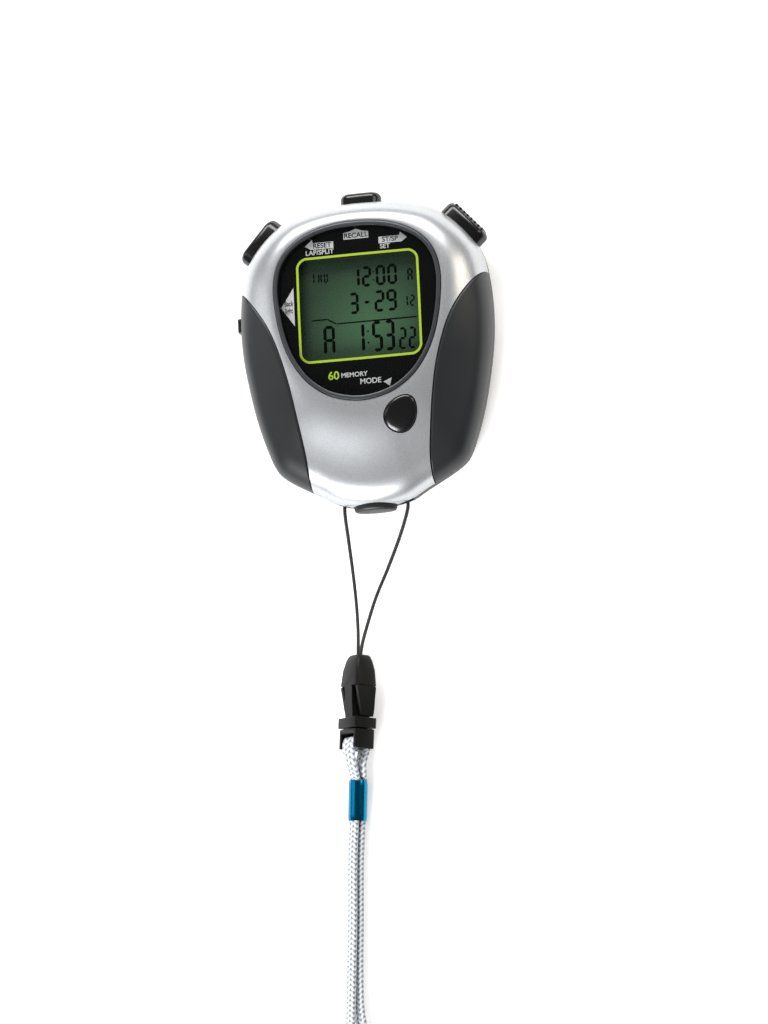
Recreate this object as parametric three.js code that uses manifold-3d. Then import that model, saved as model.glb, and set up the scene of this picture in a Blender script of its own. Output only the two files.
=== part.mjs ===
// Digital sports stopwatch with side grips and a quick-release neck lanyard.
// Millimetres. The stopwatch lies on its back: +Z is out of the display, +Y towards the
// recall button, +X to the right. The origin is under the middle of the case, on the surface.
import * as THREE from 'three';
import { mergeVertices } from 'three/addons/utils/BufferGeometryUtils.js';
import Module from 'manifold-3d';

const wasm = await Module();
wasm.setup();

// ---------- driving dimensions ----------

const GAP = 0.3; // clearance between neighbouring pieces
const PARTING_Z = 9.0; // where the two case halves meet, and where the case is widest
const RIM_Z = 20.6; // case surface round the lens
const WALL = 2.4; // case wall
const BACK_EDGE = 4.5; // width of the rounding between the side and the flat back
const CASE_SEGMENTS = 56;
const LENS_CENTRE = new THREE.Vector2(0, 8.5); // the case surface is swept round this point

// Right halves of the outlines, from the top of the case to its foot; both are symmetrical.
const CASE_HALF = [
  [0, 39.2], [8.2, 38.8], [15, 37.5], [20.6, 35.4], [26.3, 30.7], [30.6, 24.9], [32.4, 18.5],
  [33.2, 9], [32.8, 0], [31.3, -9.5], [29.4, -18], [26.8, -26], [24.6, -30.4], [20.6, -33.4],
  [14, -37], [8.6, -39.9], [0, -41.2],
];
const LENS_HALF = [
  [0, 32.1], [7.2, 31.5], [13.2, 29.6], [18, 26.3], [20.9, 21.9], [22, 16.5], [21.8, 11],
  [20.9, 5], [19.3, -0.6], [16.8, -5.6], [13.2, -10], [7.6, -13.6], [0, -15.1],
];
// Inner edge of the right grip, from the side of the case down to its foot.
const GRIP_EDGE = [
  [37, 20.2], [32.4, 17.6], [27.6, 12], [23.8, 5.7], [21.3, -0.9], [19.2, -8.9], [17.5, -18.9],
  [16.2, -28.9], [16.1, -36.9], [16.8, -42],
];
const GRIP_THICKNESS = 1.2;
const OUTSIDE = 60; // beyond the case on every side
const FINEST = 0.01; // detail below this is merged away after a cut

// How the front falls from the lens rim to the parting line, at the top and at the foot.
const FALL_START = 0.05;
const FALL_FOOT = 0.33;
const FALL_SPAN = 0.75;
const ROUND_TOP = 2.4;
const ROUND_FOOT = 5;

const LENS = { ring: 1.5, bottom: 18.9, top: 20.5, ringTop: 21.0, seat: 3.0, ledge: 17.2 };
const DISPLAY = { y: 10, halfX: 16.8, halfY: 15.2, bottom: 14.4, top: 16.1, wall: 1.2 };
const BOARD = { bottom: 11.8, top: 12.8 };
const BOARD_OUTLINE = [
  [-9, 31], [9, 31], [9.2, 28.6], [16, 28.6], [20.2, 28.4], [24.5, 23.9], [24.5, -12],
  [21, -18.5], [14.5, -22.5], [-14.5, -22.5], [-21, -18.5], [-24.5, -12], [-24.5, 23.9],
  [-20.2, 28.4], [-16, 28.6], [-9.2, 28.6],
];

const CASE_SCREWS = [[12.5, 32], [-12.5, 32], [18.5, -24], [-18.5, -24]];
const CASE_SCREW = { headR: 1.9, shaftR: 0.95, head: 0.6, neck: 1.8, tip: 12.6, boss: 2.6 };
const BOARD_SCREWS = [[22, 0], [-22, 0], [-8, -19]];
const BOARD_SCREW = { headR: 1.6, shaftR: 0.8, head: 10.4, neck: 11.5, tip: 15.2, boss: 2.0 };

const HATCH = { y: 3, flangeR: 12.7, plugR: 11.4, boreR: 13.05, ledgeR: 11.75, cupR: 10.35 };
const HATCH_LUGS = 3;
const CELL = { r: 10, bottom: 3.0, height: 3.2 }; // CR2032
const BUZZER = { y: -22.5, r: 9, bottom: 2.7, thickness: 0.4 };

// Push buttons in the case edge. u runs outwards from the case's edge at the button's middle.
const EDGE_BUTTON = { proud: 3, travel: 1.2, flangeIn: -4, flange: 0.9, lip: 0.8, stemR: 1.2 };
const STEM_TIP_U = -5.85;
const SPRING = { from: -8.1, to: -4.3, r: 1.95, wire: 0.22, turns: 3.5 };
const SWITCH = { face: -8.4, depth: 3.5, width: 7, bottom: 6.9, top: 11.5, plungerTip: -7.1 };
const SHOULDER = [26.25, 30.75];
const EDGE_BUTTONS = {
  start_stop: { at: SHOULDER, angle: 41.6, width: 14, height: 6.6, ribs: 7 },
  lap_reset: { at: [-SHOULDER[0], SHOULDER[1]], angle: 138.4, width: 14, height: 6.6, ribs: 0 },
  recall: { at: [0, 39.15], angle: 90, width: 10.4, height: 5.8, ribs: 0 },
};
const MODE = { x: 9.8, y: -18.9, turn: 55, proud: 0.8, flange: 14.9, base: 15.5 };
const MODE_EGG = { long: 5.2, wide: 4.0, taper: 0.16 };
const LIGHT = { y: 9.3, z: 10.9, edge: -33.2, halfY: 2.0, halfZ: 1.4, proud: 0.5, axisZ: 10.3 };

const STRAP_HOLE = { x: 8.3, halfX: 1.7, bottom: 6.8, top: 9.2 };
const LUG = { halfX: 5.6, halfZ: 3.2, z: 8.6, front: -42, back: -38.2, lip: 0.8 };

// Quick-release clip. p is across it, q through it, r along it from the string's end.
const CLIP = { x: -6.7, y: -78.4, z: 5.4, heading: -94.5, roll: 45 };
const CLIP_DOME = [[2.2, 1.7, 0], [3.1, 2.4, 1.4], [3.7, 2.85, 4], [4.1, 3.1, 8]];
const CLIP_MOUTH = { p: 3.75, q: 2.65, r: 16.3 };
const CLIP_COLLAR = { p: 4.3, q: 3.25, from: 16.3, to: 18.9 };
const CLIP_CORE = 1.7; // half width of the plates between the two arms
const CLIP_VOID = { p: 3.5, q: 1.5, from: 8.6 };
const CLIP_BASE = { p: 4.0, q: 2.9, from: 19.2, to: 20.4 };
const CLIP_FRAME = { to: 24.2, window: 2.9, barQ: 1.5, barFrom: 22.9 };
const CLIP_ARM = { inner: 3.0, outer: 4.1, from: 8.4, to: 15.9, wideQ: 2.9, narrowQ: 1.8 };
const CLIP_STEM = { inner: 2.5, outer: 3.2, q: 1.1 };
const CLIP_GUIDE = { p: 1.2, q: 1.1, from: 9.6 };
const STRING_POST = { r: 5.2, radius: 1.0 };

const STRING_R = 0.45;
// From behind the strap lug, out of one hole, round the clip's post and back in by the other.
const STRING_ROUTE = [
  [-0.5, -34.85, 7.8], [-3, -34.9, 7.8], [-5.6, -35.8, 7.8], [-7.8, -37.6, 7.9],
  [-8.3, -39.9, 7.9], [-8.4, -42.5, 7.4], [-8.3, -48, 5.2], [-8.0, -56, 2.9],
  [-7.6, -64, 2.2], [-7.3, -71, 2.9], [-7.15, -76, 4.4],
];
// Inside the clip: [p, r] in the clip's own frame.
const STRING_BIGHT = [[-0.65, 0.8], [-1.25, 3.0], [-1.75, 4.6], [-1.5, 6.2], [0, 7.2], [1.5, 6.2],
  [1.75, 4.6], [1.25, 3.0], [0.65, 0.8]];
const STRING_RETURN = [
  [-6.0, -76, 5.3], [-4.9, -71, 3.6], [-2.3, -63, 2.3],
  [1.2, -56, 2.9], [5.1, -48.5, 5.1], [7.8, -42.6, 7.4], [8.3, -39.9, 7.9],
  [7.8, -37.6, 7.9], [5.6, -35.8, 7.8], [3, -34.9, 7.8], [0.5, -34.85, 7.8],
];

const BRAID = { half: 2.0, thick: 0.8, pair: 1.0 }; // half width, half thickness, half spacing
const FERRULE = { from: [-8.95, -110.3, 2.9], to: [-9.6, -120.7, 2.9], p: 2.75, q: 2.65, wall: 0.35 };
const BIGHT_Q = 2.6; // half distance between the two legs at the clip's bar
const COIL = { x: 9.6, y: -215, inner: 18.6, outer: 27.6, height: 6 };
const STRAND_LEFT = [
  [-9.3, -115.7, 2.9], [-9.9, -122, 2.9], [-10.7, -132, 2.9], [-11.3, -145, 2.9],
  [-12.1, -158, 2.9], [-13.0, -172, 2.9], [-13.5, -184, 2.9], [-13.6, -195.5, 2.9],
];
const STRAND_RIGHT = [
  [-9.3, -115.7, 2.9], [-9.9, -122, 2.9], [-10.7, -132, 2.9], [-11.3, -145, 2.9],
  [-12.0, -158, 2.9], [-12.1, -169, 2.9], [-10.5, -177, 2.9], [-7.5, -182.6, 2.9],
  [-3.9, -186.2, 2.9], [-0.6, -188.2, 2.9],
];

// ---------- colours ----------

const COLOURS = {
  silver: [0xc4c8cc, 0.35, 0.7], rearBlack: [0x191b1d, 0.5, 0], grip: [0x3b3e41, 0.6, 0],
  gunmetal: [0x55595c, 0.35, 0.6], clear: [0xd8dee0, 0.05, 0], lcd: [0x4b6f57, 0.3, 0],
  black: [0x111213, 0.35, 0], holder: [0x1a1c1b, 0.6, 0], board: [0x1f5a36, 0.5, 0],
  white: [0xe6e8df, 0.5, 0], zebra: [0xc9b7c4, 0.6, 0], steel: [0xb5b7b8, 0.3, 1],
  brass: [0xc8a555, 0.35, 1], rubber: [0x1c1c1e, 0.8, 0], silicone: [0x8f9498, 0.6, 0],
  lug: [0x4a4d50, 0.5, 0], string: [0x151515, 0.8, 0], blue: [0x0e7fa8, 0.25, 0.9],
  braid: [0xe8eaec, 0.7, 0],
};

const materials = {};
for (const [name, [color, roughness, metalness]] of Object.entries(COLOURS)) {
  materials[name] = new THREE.MeshStandardMaterial({ name, color, roughness, metalness });
}

const stopwatch = new THREE.Group();

// ---------- solids ----------

// A closed three.js geometry as a manifold solid, with its faces pointing out.
function solid(geometry) {
  const bare = geometry.clone();
  for (const name of Object.keys(bare.attributes)) {
    if (name !== 'position') bare.deleteAttribute(name);
  }
  const merged = mergeVertices(bare, 1e-4);
  const index = merged.index.array;
  const triangles = [];
  for (let i = 0; i < index.length; i += 3) {
    const [a, b, c] = [index[i], index[i + 1], index[i + 2]];
    if (a !== b && b !== c && c !== a) triangles.push(a, b, c);
  }
  const make = (list) => new wasm.Manifold(new wasm.Mesh({
    numProp: 3,
    vertProperties: new Float32Array(merged.attributes.position.array),
    triVerts: new Uint32Array(list),
  }));
  const first = make(triangles);
  if (first.volume() > 0) return first;
  const turned = [];
  for (let i = 0; i < triangles.length; i += 3) {
    turned.push(triangles[i], triangles[i + 2], triangles[i + 1]);
  }
  return make(turned);
}

// The largest body of a cut solid, without the slivers that faceted cuts leave beside it.
const largest = (shape) => shape.decompose().reduce((a, b) => (b.volume() > a.volume() ? b : a));

function add(name, shape, material) {
  const source = largest(shape).simplify(FINEST).getMesh();
  const geometry = new THREE.BufferGeometry();
  geometry.setAttribute('position', new THREE.BufferAttribute(source.vertProperties, 3));
  geometry.setIndex(new THREE.BufferAttribute(source.triVerts, 1));
  geometry.computeVertexNormals();
  const mesh = new THREE.Mesh(geometry, materials[material]);
  mesh.name = name;
  stopwatch.add(mesh);
}

const union = (first, ...rest) => rest.reduce((sum, next) => sum.add(next), first);
const cut = (first, ...rest) => rest.reduce((left, next) => left.subtract(next), first);

// A box from its lowest to its highest corner.
function box(low, high) {
  const size = high.map((value, i) => value - low[i]);
  const middle = high.map((value, i) => (value + low[i]) / 2);
  return solid(new THREE.BoxGeometry(...size).translate(...middle));
}

function upright(x, y, radius, bottom, top, sides = 16) {
  const geometry = new THREE.CylinderGeometry(radius, radius, top - bottom, sides);
  geometry.rotateX(Math.PI / 2);
  return solid(geometry.translate(x, y, (top + bottom) / 2));
}

// A turned piece: profile points are [radius, height].
function turned(x, y, profile, sides) {
  const points = profile.map(([r, z]) => new THREE.Vector2(r, z));
  const geometry = new THREE.LatheGeometry(points, sides);
  geometry.rotateX(Math.PI / 2);
  return solid(geometry.translate(x, y, 0));
}

const tube = (x, y, inner, outer, bottom, top, sides = 24) => turned(
  x, y, [[inner, bottom], [outer, bottom], [outer, top], [inner, top], [inner, bottom]], sides,
);

// An upright prism on an outline of Vector2 points.
function prism(points, bottom, top) {
  const geometry = new THREE.ExtrudeGeometry(new THREE.Shape(points), {
    depth: top - bottom, bevelEnabled: false,
  });
  return solid(geometry.translate(0, 0, bottom));
}

const pairs = (list) => list.map(([x, y]) => new THREE.Vector2(x, y));

function ellipse(halfX, halfY, sides) {
  const points = [];
  for (let i = 0; i < sides; i += 1) {
    const angle = (i * 2 * Math.PI) / sides;
    points.push(new THREE.Vector2(halfX * Math.cos(angle), halfY * Math.sin(angle)));
  }
  return points;
}

// A slot shape: a rectangle with half-round ends.
function slotShape(width, height) {
  const r = height / 2;
  const straight = width / 2 - r;
  const shape = new THREE.Shape();
  shape.moveTo(-straight, -r);
  shape.lineTo(straight, -r);
  shape.absarc(straight, 0, r, -Math.PI / 2, Math.PI / 2, false);
  shape.lineTo(-straight, r);
  shape.absarc(-straight, 0, r, Math.PI / 2, (3 * Math.PI) / 2, false);
  return shape;
}

// ---------- case outline and surface ----------

function closedOutline(half, steps) {
  const mirrored = half.slice(1, -1).reverse().map(([x, y]) => [-x, y]);
  const points = [...half, ...mirrored].map(([x, y]) => new THREE.Vector3(x, y, 0));
  const curve = new THREE.CatmullRomCurve3(points, true, 'catmullrom', 0.5);
  return curve.getPoints(points.length * steps).slice(0, -1)
    .map((point) => new THREE.Vector2(point.x, point.y));
}

// Moves an outline inwards along its own normals.
function inset(points, distance) {
  const count = points.length;
  return points.map((point, i) => {
    const along = points[(i + 1) % count].clone().sub(points[(i + count - 1) % count]);
    const inwards = new THREE.Vector2(along.y, -along.x).normalize();
    if (inwards.dot(point.clone().sub(LENS_CENTRE)) > 0) inwards.negate();
    return point.clone().addScaledVector(inwards, distance);
  });
}

// The outline's point in one direction from the lens centre.
function reach(points, angle) {
  const ray = new THREE.Vector2(Math.cos(angle), Math.sin(angle));
  for (let i = 0; i < points.length; i += 1) {
    const a = points[i].clone().sub(LENS_CENTRE);
    const b = points[(i + 1) % points.length].clone().sub(LENS_CENTRE);
    const sideA = ray.cross(a);
    const sideB = ray.cross(b);
    if (sideA * sideB <= 0 && a.dot(ray) > 0 && sideA !== sideB) {
      return a.lerp(b, sideA / (sideA - sideB)).add(LENS_CENTRE);
    }
  }
  throw new Error('the outline does not go round the lens centre');
}

const smooth = (t) => t * t * (3 - 2 * t);

// Height of the front surface: 1 at the lens rim, 0 at the parting line.
function frontHeight(angle, s) {
  const foot = ((1 - Math.sin(angle)) / 2) ** 1.5;
  const fall = 1 - (FALL_START + FALL_FOOT * foot) * smooth(Math.min(1, s / FALL_SPAN));
  const power = ROUND_TOP + (ROUND_FOOT - ROUND_TOP) * foot;
  return fall * Math.sqrt(Math.max(0, 1 - s ** power));
}

const CASE_OUTLINE = closedOutline(CASE_HALF, 6);
const LENS_OUTLINE = closedOutline(LENS_HALF, 2);
const OUTER_STEPS = { front: [0, 0.22, 0.42, 0.6, 0.76, 0.88, 0.95, 0.985], back: [0, 30, 60, 90] };
const INNER_STEPS = { front: [0, 0.4, 0.7, 0.9], back: [0, 45, 90] };

// The whole outer form of the case as one solid, moved inwards by a distance.
// It is a lathe whose rings are then drawn out to the two outlines.
function caseForm(distance, { front, back }) {
  const rings = front.length + back.length;
  const profile = [new THREE.Vector2(0, 1)];
  for (let i = 0; i < rings; i += 1) profile.push(new THREE.Vector2(1, 1 - (i + 1) / rings));
  profile.push(new THREE.Vector2(0, 0));
  const geometry = new THREE.LatheGeometry(profile, CASE_SEGMENTS);
  const edge = inset(CASE_OUTLINE, distance);
  const backOutlines = back.map((degrees) => inset(
    CASE_OUTLINE, distance + BACK_EDGE * (1 - Math.cos(THREE.MathUtils.degToRad(degrees))),
  ));
  const position = geometry.attributes.position;
  for (let i = 0; i <= CASE_SEGMENTS; i += 1) {
    const angle = Math.PI / 2 + ((i % CASE_SEGMENTS) * 2 * Math.PI) / CASE_SEGMENTS;
    const lens = reach(LENS_OUTLINE, angle);
    const rim = reach(edge, angle);
    const first = i * profile.length;
    position.setXYZ(first, LENS_CENTRE.x, LENS_CENTRE.y, RIM_Z - distance);
    front.forEach((s, j) => {
      const point = lens.clone().lerp(rim, s);
      const z = PARTING_Z + (RIM_Z - distance - PARTING_Z) * frontHeight(angle, s);
      position.setXYZ(first + 1 + j, point.x, point.y, z);
    });
    back.forEach((degrees, j) => {
      const point = reach(backOutlines[j], angle);
      const drop = Math.sin(THREE.MathUtils.degToRad(degrees));
      const z = PARTING_Z - (PARTING_Z - distance) * drop;
      position.setXYZ(first + 1 + front.length + j, point.x, point.y, z);
    });
    position.setXYZ(first + profile.length - 1, LENS_CENTRE.x, LENS_CENTRE.y, distance);
  }
  return solid(geometry);
}

const outer = caseForm(0, OUTER_STEPS);
const shell = outer.subtract(caseForm(WALL, INNER_STEPS));
const insideWall = caseForm(WALL / 2, INNER_STEPS);
const above = box([-OUTSIDE, -OUTSIDE, PARTING_Z + GAP / 2], [OUTSIDE, OUTSIDE, OUTSIDE]);
const below = box([-OUTSIDE, -OUTSIDE, -OUTSIDE], [OUTSIDE, OUTSIDE, PARTING_Z - GAP / 2]);

// ---------- edge buttons ----------

// Sets a geometry, made with local z outwards and local y up, in the case's edge.
function atEdge(geometry, { at, angle }) {
  const turn = THREE.MathUtils.degToRad(angle);
  const outwards = new THREE.Vector3(Math.cos(turn), Math.sin(turn), 0);
  const along = new THREE.Vector3(-Math.sin(turn), Math.cos(turn), 0);
  const frame = new THREE.Matrix4().makeBasis(along, new THREE.Vector3(0, 0, 1), outwards);
  frame.setPosition(at[0], at[1], PARTING_Z);
  return solid(geometry.applyMatrix4(frame));
}

function edgePrism(shape, from, to, bevel, button) {
  const geometry = new THREE.ExtrudeGeometry(shape, {
    depth: to - from - 2 * bevel, bevelEnabled: bevel > 0, bevelThickness: bevel,
    bevelSize: bevel, bevelOffset: -bevel, bevelSegments: 2, curveSegments: 6,
  });
  return atEdge(geometry.translate(0, 0, from + bevel), button);
}

function edgeButton(button) {
  const { flangeIn, flange, lip, proud, stemR } = EDGE_BUTTON;
  const cap = edgePrism(slotShape(button.width, button.height), flangeIn + 0.5, proud, 0.8, button);
  const plate = edgePrism(
    slotShape(button.width + 2 * lip, button.height + 2 * lip), flangeIn, flangeIn + flange, 0,
    button,
  );
  const stem = new THREE.CylinderGeometry(stemR, stemR, flangeIn + 0.5 - STEM_TIP_U, 12);
  stem.rotateX(Math.PI / 2).translate(0, 0, (flangeIn + 0.5 + STEM_TIP_U) / 2);
  const pieces = [cap, plate, atEdge(stem, button)];
  const pitch = (button.width - 3) / Math.max(1, button.ribs);
  for (let i = 0; i < button.ribs; i += 1) {
    const rib = new THREE.BoxGeometry(0.7, button.height - 2.2, 0.8);
    rib.translate((i - (button.ribs - 1) / 2) * pitch, 0, proud);
    pieces.push(atEdge(rib, button));
  }
  return union(...pieces);
}

// The way through the wall for a button, with a pocket behind it for the button's flange.
function edgeHole(button) {
  const { lip, flangeIn, flange } = EDGE_BUTTON;
  const way = slotShape(button.width + 2 * GAP, button.height + 2 * GAP);
  const room = slotShape(button.width + 2 * (lip + GAP), button.height + 2 * (lip + GAP));
  return union(
    edgePrism(way, -8, 8, 0, button),
    edgePrism(room, flangeIn - EDGE_BUTTON.travel - 1, flangeIn + flange + GAP, 0, button),
  );
}

class Helix extends THREE.Curve {
  constructor(radius, turns, from, to) {
    super();
    Object.assign(this, { radius, turns, from, to });
  }

  getPoint(t, target = new THREE.Vector3()) {
    const angle = t * this.turns * 2 * Math.PI;
    const height = this.from + (this.to - this.from) * t;
    return target.set(this.radius * Math.cos(angle), this.radius * Math.sin(angle), height);
  }
}

function helixGeometry(radius, wire, turns, from, to) {
  const path = new Helix(radius, turns, from + wire, to - wire);
  return new THREE.ExtrudeGeometry(new THREE.Shape(ellipse(wire, wire, 5)), {
    steps: Math.round(turns * 9), extrudePath: path,
  });
}

function edgeSwitch(button) {
  const { face, depth, width, bottom, top, plungerTip } = SWITCH;
  const body = new THREE.BoxGeometry(width, top - bottom, depth);
  body.translate(0, (top + bottom) / 2 - PARTING_Z, face - depth / 2);
  const plunger = new THREE.CylinderGeometry(0.9, 0.9, plungerTip - face + 0.5, 10);
  plunger.rotateX(Math.PI / 2).translate(0, 0, (plungerTip + face - 0.5) / 2);
  return atEdge(body, button).add(atEdge(plunger, button));
}

for (const [name, button] of Object.entries(EDGE_BUTTONS)) {
  add(`${name}_button`, edgeButton(button), 'black');
  const { r, wire, turns, from, to } = SPRING;
  add(`${name}_spring`, atEdge(helixGeometry(r, wire, turns, from, to), button), 'steel');
  add(`${name}_switch`, edgeSwitch(button), 'holder');
}

// ---------- mode and backlight buttons ----------

// An egg outline, blunt at one end, round the mode button's middle.
function egg(grow) {
  const turn = THREE.MathUtils.degToRad(MODE.turn);
  return ellipse(1, 1, 28).map(({ x, y }) => {
    const long = x * (MODE_EGG.long + grow);
    const wide = y * (MODE_EGG.wide + grow) * (1 - MODE_EGG.taper * x);
    return new THREE.Vector2(
      MODE.x + long * Math.cos(turn) - wide * Math.sin(turn),
      MODE.y + long * Math.sin(turn) + wide * Math.cos(turn),
    );
  });
}

function modeButton() {
  const cap = prism(egg(0), MODE.flange, RIM_Z + 2).intersect(caseForm(-MODE.proud, OUTER_STEPS));
  return cap.add(prism(egg(0.6), MODE.flange, MODE.base));
}

function modeDome() {
  const bottom = BOARD.top + GAP;
  const top = MODE.flange - GAP;
  return turned(MODE.x, MODE.y, [[0, bottom], [2.2, bottom], [1.3, top], [0, top]], 16);
}

// Lengths across the case edge, measured outwards, become x on the left side.
const leftX = (u) => LIGHT.edge - u;

function lightButton() {
  const { y, z, halfY, halfZ, proud } = LIGHT;
  const cap = box([leftX(proud), y - halfY, z - halfZ], [leftX(-3.8), y + halfY, z + halfZ]);
  const plate = box([leftX(-3.4), y - 2.8, z - 1.6], [leftX(-4.2), y + 2.8, z + 1.6]);
  return cap.add(plate);
}

function lightDome() {
  const geometry = new THREE.CylinderGeometry(1.1, 1.3, 2.6, 12).rotateZ(-Math.PI / 2);
  return solid(geometry.translate(leftX(-5.85), LIGHT.y, LIGHT.axisZ));
}

add('mode_button', modeButton(), 'black');
add('mode_dome', modeDome(), 'silicone');
add('backlight_button', lightButton(), 'black');
add('backlight_dome', lightDome(), 'silicone');
add('backlight_switch', box(
  [leftX(-7.5), LIGHT.y - 3, PARTING_Z], [leftX(-10.6), LIGHT.y + 3, BOARD.bottom - GAP],
), 'holder');

// ---------- case halves and grips ----------

function gripRegion(side, grow) {
  const edge = new THREE.SplineCurve(pairs(GRIP_EDGE)).getPoints(18);
  const points = edge.map(({ x, y }) => new THREE.Vector2(side * (x - grow), y));
  points.push(new THREE.Vector2(side * OUTSIDE, -42), new THREE.Vector2(side * OUTSIDE, 20.2));
  return prism(points, 0, OUTSIDE);
}

// An oval plate standing across the foot of the case.
function ovalPlate(grow, front, back, bevel) {
  const shape = new THREE.Shape(ellipse(LUG.halfX + grow, LUG.halfZ + grow, 20));
  const geometry = new THREE.ExtrudeGeometry(shape, {
    depth: back - front - bevel, bevelEnabled: bevel > 0, bevelThickness: bevel,
    bevelSize: bevel, bevelOffset: -bevel, bevelSegments: 2,
  });
  return solid(geometry.rotateX(Math.PI / 2).translate(0, back, LUG.z));
}

const lugOpening = () => union(
  ovalPlate(GAP, LUG.front - 2, LUG.back + 2, 0),
  ovalPlate(LUG.lip + GAP, LUG.back - 0.1 - GAP, LUG.back + 3, 0),
);

const strapHoles = [-1, 1].map((side) => {
  const { x, halfX, bottom, top } = STRAP_HOLE;
  return box([side * x - halfX, -OUTSIDE, bottom], [side * x + halfX, -36, top]);
});
const edgeOpenings = [...Object.values(EDGE_BUTTONS).map(edgeHole), lugOpening(), ...strapHoles];
const lightHole = box(
  [leftX(8), LIGHT.y - LIGHT.halfY - GAP, 0],
  [leftX(-5), LIGHT.y + LIGHT.halfY + GAP, LIGHT.z + LIGHT.halfZ + GAP],
);

function frontShell() {
  const bosses = [
    ...CASE_SCREWS.map(([x, y]) => upright(x, y, CASE_SCREW.boss, PARTING_Z, RIM_Z)),
    ...BOARD_SCREWS.map(([x, y]) => upright(x, y, BOARD_SCREW.boss, BOARD.top + GAP, RIM_Z)),
  ].map((boss) => boss.intersect(insideWall));
  const ledge = prism(inset(LENS_OUTLINE, -1.2), LENS.ledge, LENS.bottom - GAP)
    .intersect(insideWall);
  const pilots = [
    ...CASE_SCREWS.map(([x, y]) => upright(x, y, CASE_SCREW.shaftR + GAP, 0,
      CASE_SCREW.tip + GAP, 12)),
    ...BOARD_SCREWS.map(([x, y]) => upright(x, y, BOARD_SCREW.shaftR + GAP, 0,
      BOARD_SCREW.tip + GAP, 12)),
  ];
  const gripFloor = caseForm(GRIP_THICKNESS + GAP, OUTER_STEPS);
  const recesses = [-1, 1].map((side) => gripRegion(side, GAP).subtract(gripFloor));
  const window = prism(inset(LENS_OUTLINE, LENS.seat), PARTING_Z, OUTSIDE);
  const lensSeat = prism(LENS_OUTLINE, LENS.bottom - GAP, OUTSIDE);
  return cut(
    union(shell, ledge, ...bosses).intersect(above), window, lensSeat, ...pilots,
    ...edgeOpenings, lightHole, prism(egg(GAP), PARTING_Z, OUTSIDE),
    ...recesses,
  );
}

function grip(side) {
  const skin = outer.subtract(caseForm(GRIP_THICKNESS, OUTER_STEPS));
  const piece = skin.intersect(gripRegion(side, 0)).intersect(above);
  return cut(piece, ...edgeOpenings, lightHole);
}

function hatchLugs(grow, bottom, top, degrees) {
  return Array.from({ length: HATCH_LUGS }, (unused, i) => {
    const turn = ((i * 360) / HATCH_LUGS + degrees) * (Math.PI / 180);
    const width = 4.4 + 2 * grow;
    const geometry = new THREE.BoxGeometry(2.2 + grow, width, top - bottom);
    geometry.translate(11.6 + grow / 2, 0, (top + bottom) / 2).rotateZ(turn);
    return solid(geometry.translate(0, HATCH.y, 0));
  });
}

function rearShell() {
  const posts = CASE_SCREWS.map(([x, y]) => upright(x, y, 3, 1, PARTING_Z - GAP / 2)
    .intersect(insideWall));
  const hatchBoss = upright(0, HATCH.y, 14.6, 1, 4.6, 32);
  const counterbores = CASE_SCREWS.map(([x, y]) => upright(x, y, CASE_SCREW.headR + GAP, -1,
    CASE_SCREW.neck + GAP));
  const clearances = CASE_SCREWS.map(([x, y]) => upright(x, y, CASE_SCREW.shaftR + GAP, -1,
    OUTSIDE, 12));
  return cut(
    union(shell, hatchBoss, ...posts).intersect(below), ...counterbores, ...clearances,
    upright(0, HATCH.y, HATCH.boreR, -1, 2.4, 32), upright(0, HATCH.y, HATCH.ledgeR, -1, 9, 32),
    upright(0, HATCH.y, HATCH.boreR, 3.1, 9, 32), ...hatchLugs(0.4, 0, 4, 50),
    ...edgeOpenings,
  );
}

function batteryHatch() {
  const { y, flangeR, plugR, cupR } = HATCH;
  const disc = turned(0, y, [
    [0, 0.3], [flangeR, 0.3], [flangeR, 1.1], [plugR, 1.1], [plugR, 4.2], [cupR, 4.2],
    [cupR, 2.7], [0, 2.7],
  ], 32);
  const coinSlot = box([-8, y - 0.9, 0], [8, y + 0.9, 1.3]);
  return cut(union(disc, ...hatchLugs(0, 3.4, 4.2, 0)), coinSlot);
}

add('front_shell', frontShell(), 'silver');
add('rear_shell', rearShell(), 'rearBlack');
add('right_grip', grip(1), 'grip');
add('left_grip', grip(-1), 'grip');
add('battery_hatch', batteryHatch(), 'rearBlack');
add('hatch_seal', turned(0, HATCH.y, ellipse(0.35, 0.35, 6).concat(ellipse(0.35, 0.35, 6)[0])
  .map(({ x, y }) => [12.2 + x, 1.75 + y]), 24), 'rubber');

// ---------- screws ----------

function screw([x, y], { headR, shaftR, head, neck, tip }) {
  const body = turned(x, y, [
    [0, head], [headR, head], [headR, neck], [shaftR, neck], [shaftR, tip - 0.6], [0, tip],
  ], 12);
  const reachOut = headR * 0.6;
  const slots = [[reachOut, 0.25], [0.25, reachOut]].map(([halfX, halfY]) => box(
    [x - halfX, y - halfY, head - 1], [x + halfX, y + halfY, head + 0.6],
  ));
  return cut(body, ...slots);
}

CASE_SCREWS.forEach((at, i) => add(`case_screw_${i + 1}`, screw(at, CASE_SCREW), 'steel'));
BOARD_SCREWS.forEach((at, i) => add(`board_screw_${i + 1}`, screw(at, BOARD_SCREW), 'steel'));

// ---------- lens and display ----------

function lensBezel() {
  const body = prism(inset(LENS_OUTLINE, GAP), LENS.bottom, LENS.ringTop);
  return body.subtract(prism(inset(LENS_OUTLINE, LENS.ring), 0, OUTSIDE));
}

function lcdHolder() {
  const { y, halfX, halfY, wall, top } = DISPLAY;
  const block = box(
    [-halfX - wall - GAP, y - halfY - wall - GAP, BOARD.top + GAP],
    [halfX + wall + GAP, y + halfY + wall + GAP, top + 0.8],
  );
  const well = box([-halfX - GAP, y - halfY - GAP, 0], [halfX + GAP, y + halfY + GAP, top + GAP]);
  const view = box([-15.6, y - 13.6, 0], [15.6, y + 13.6, OUTSIDE]);
  return cut(block, well, view);
}

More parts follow.
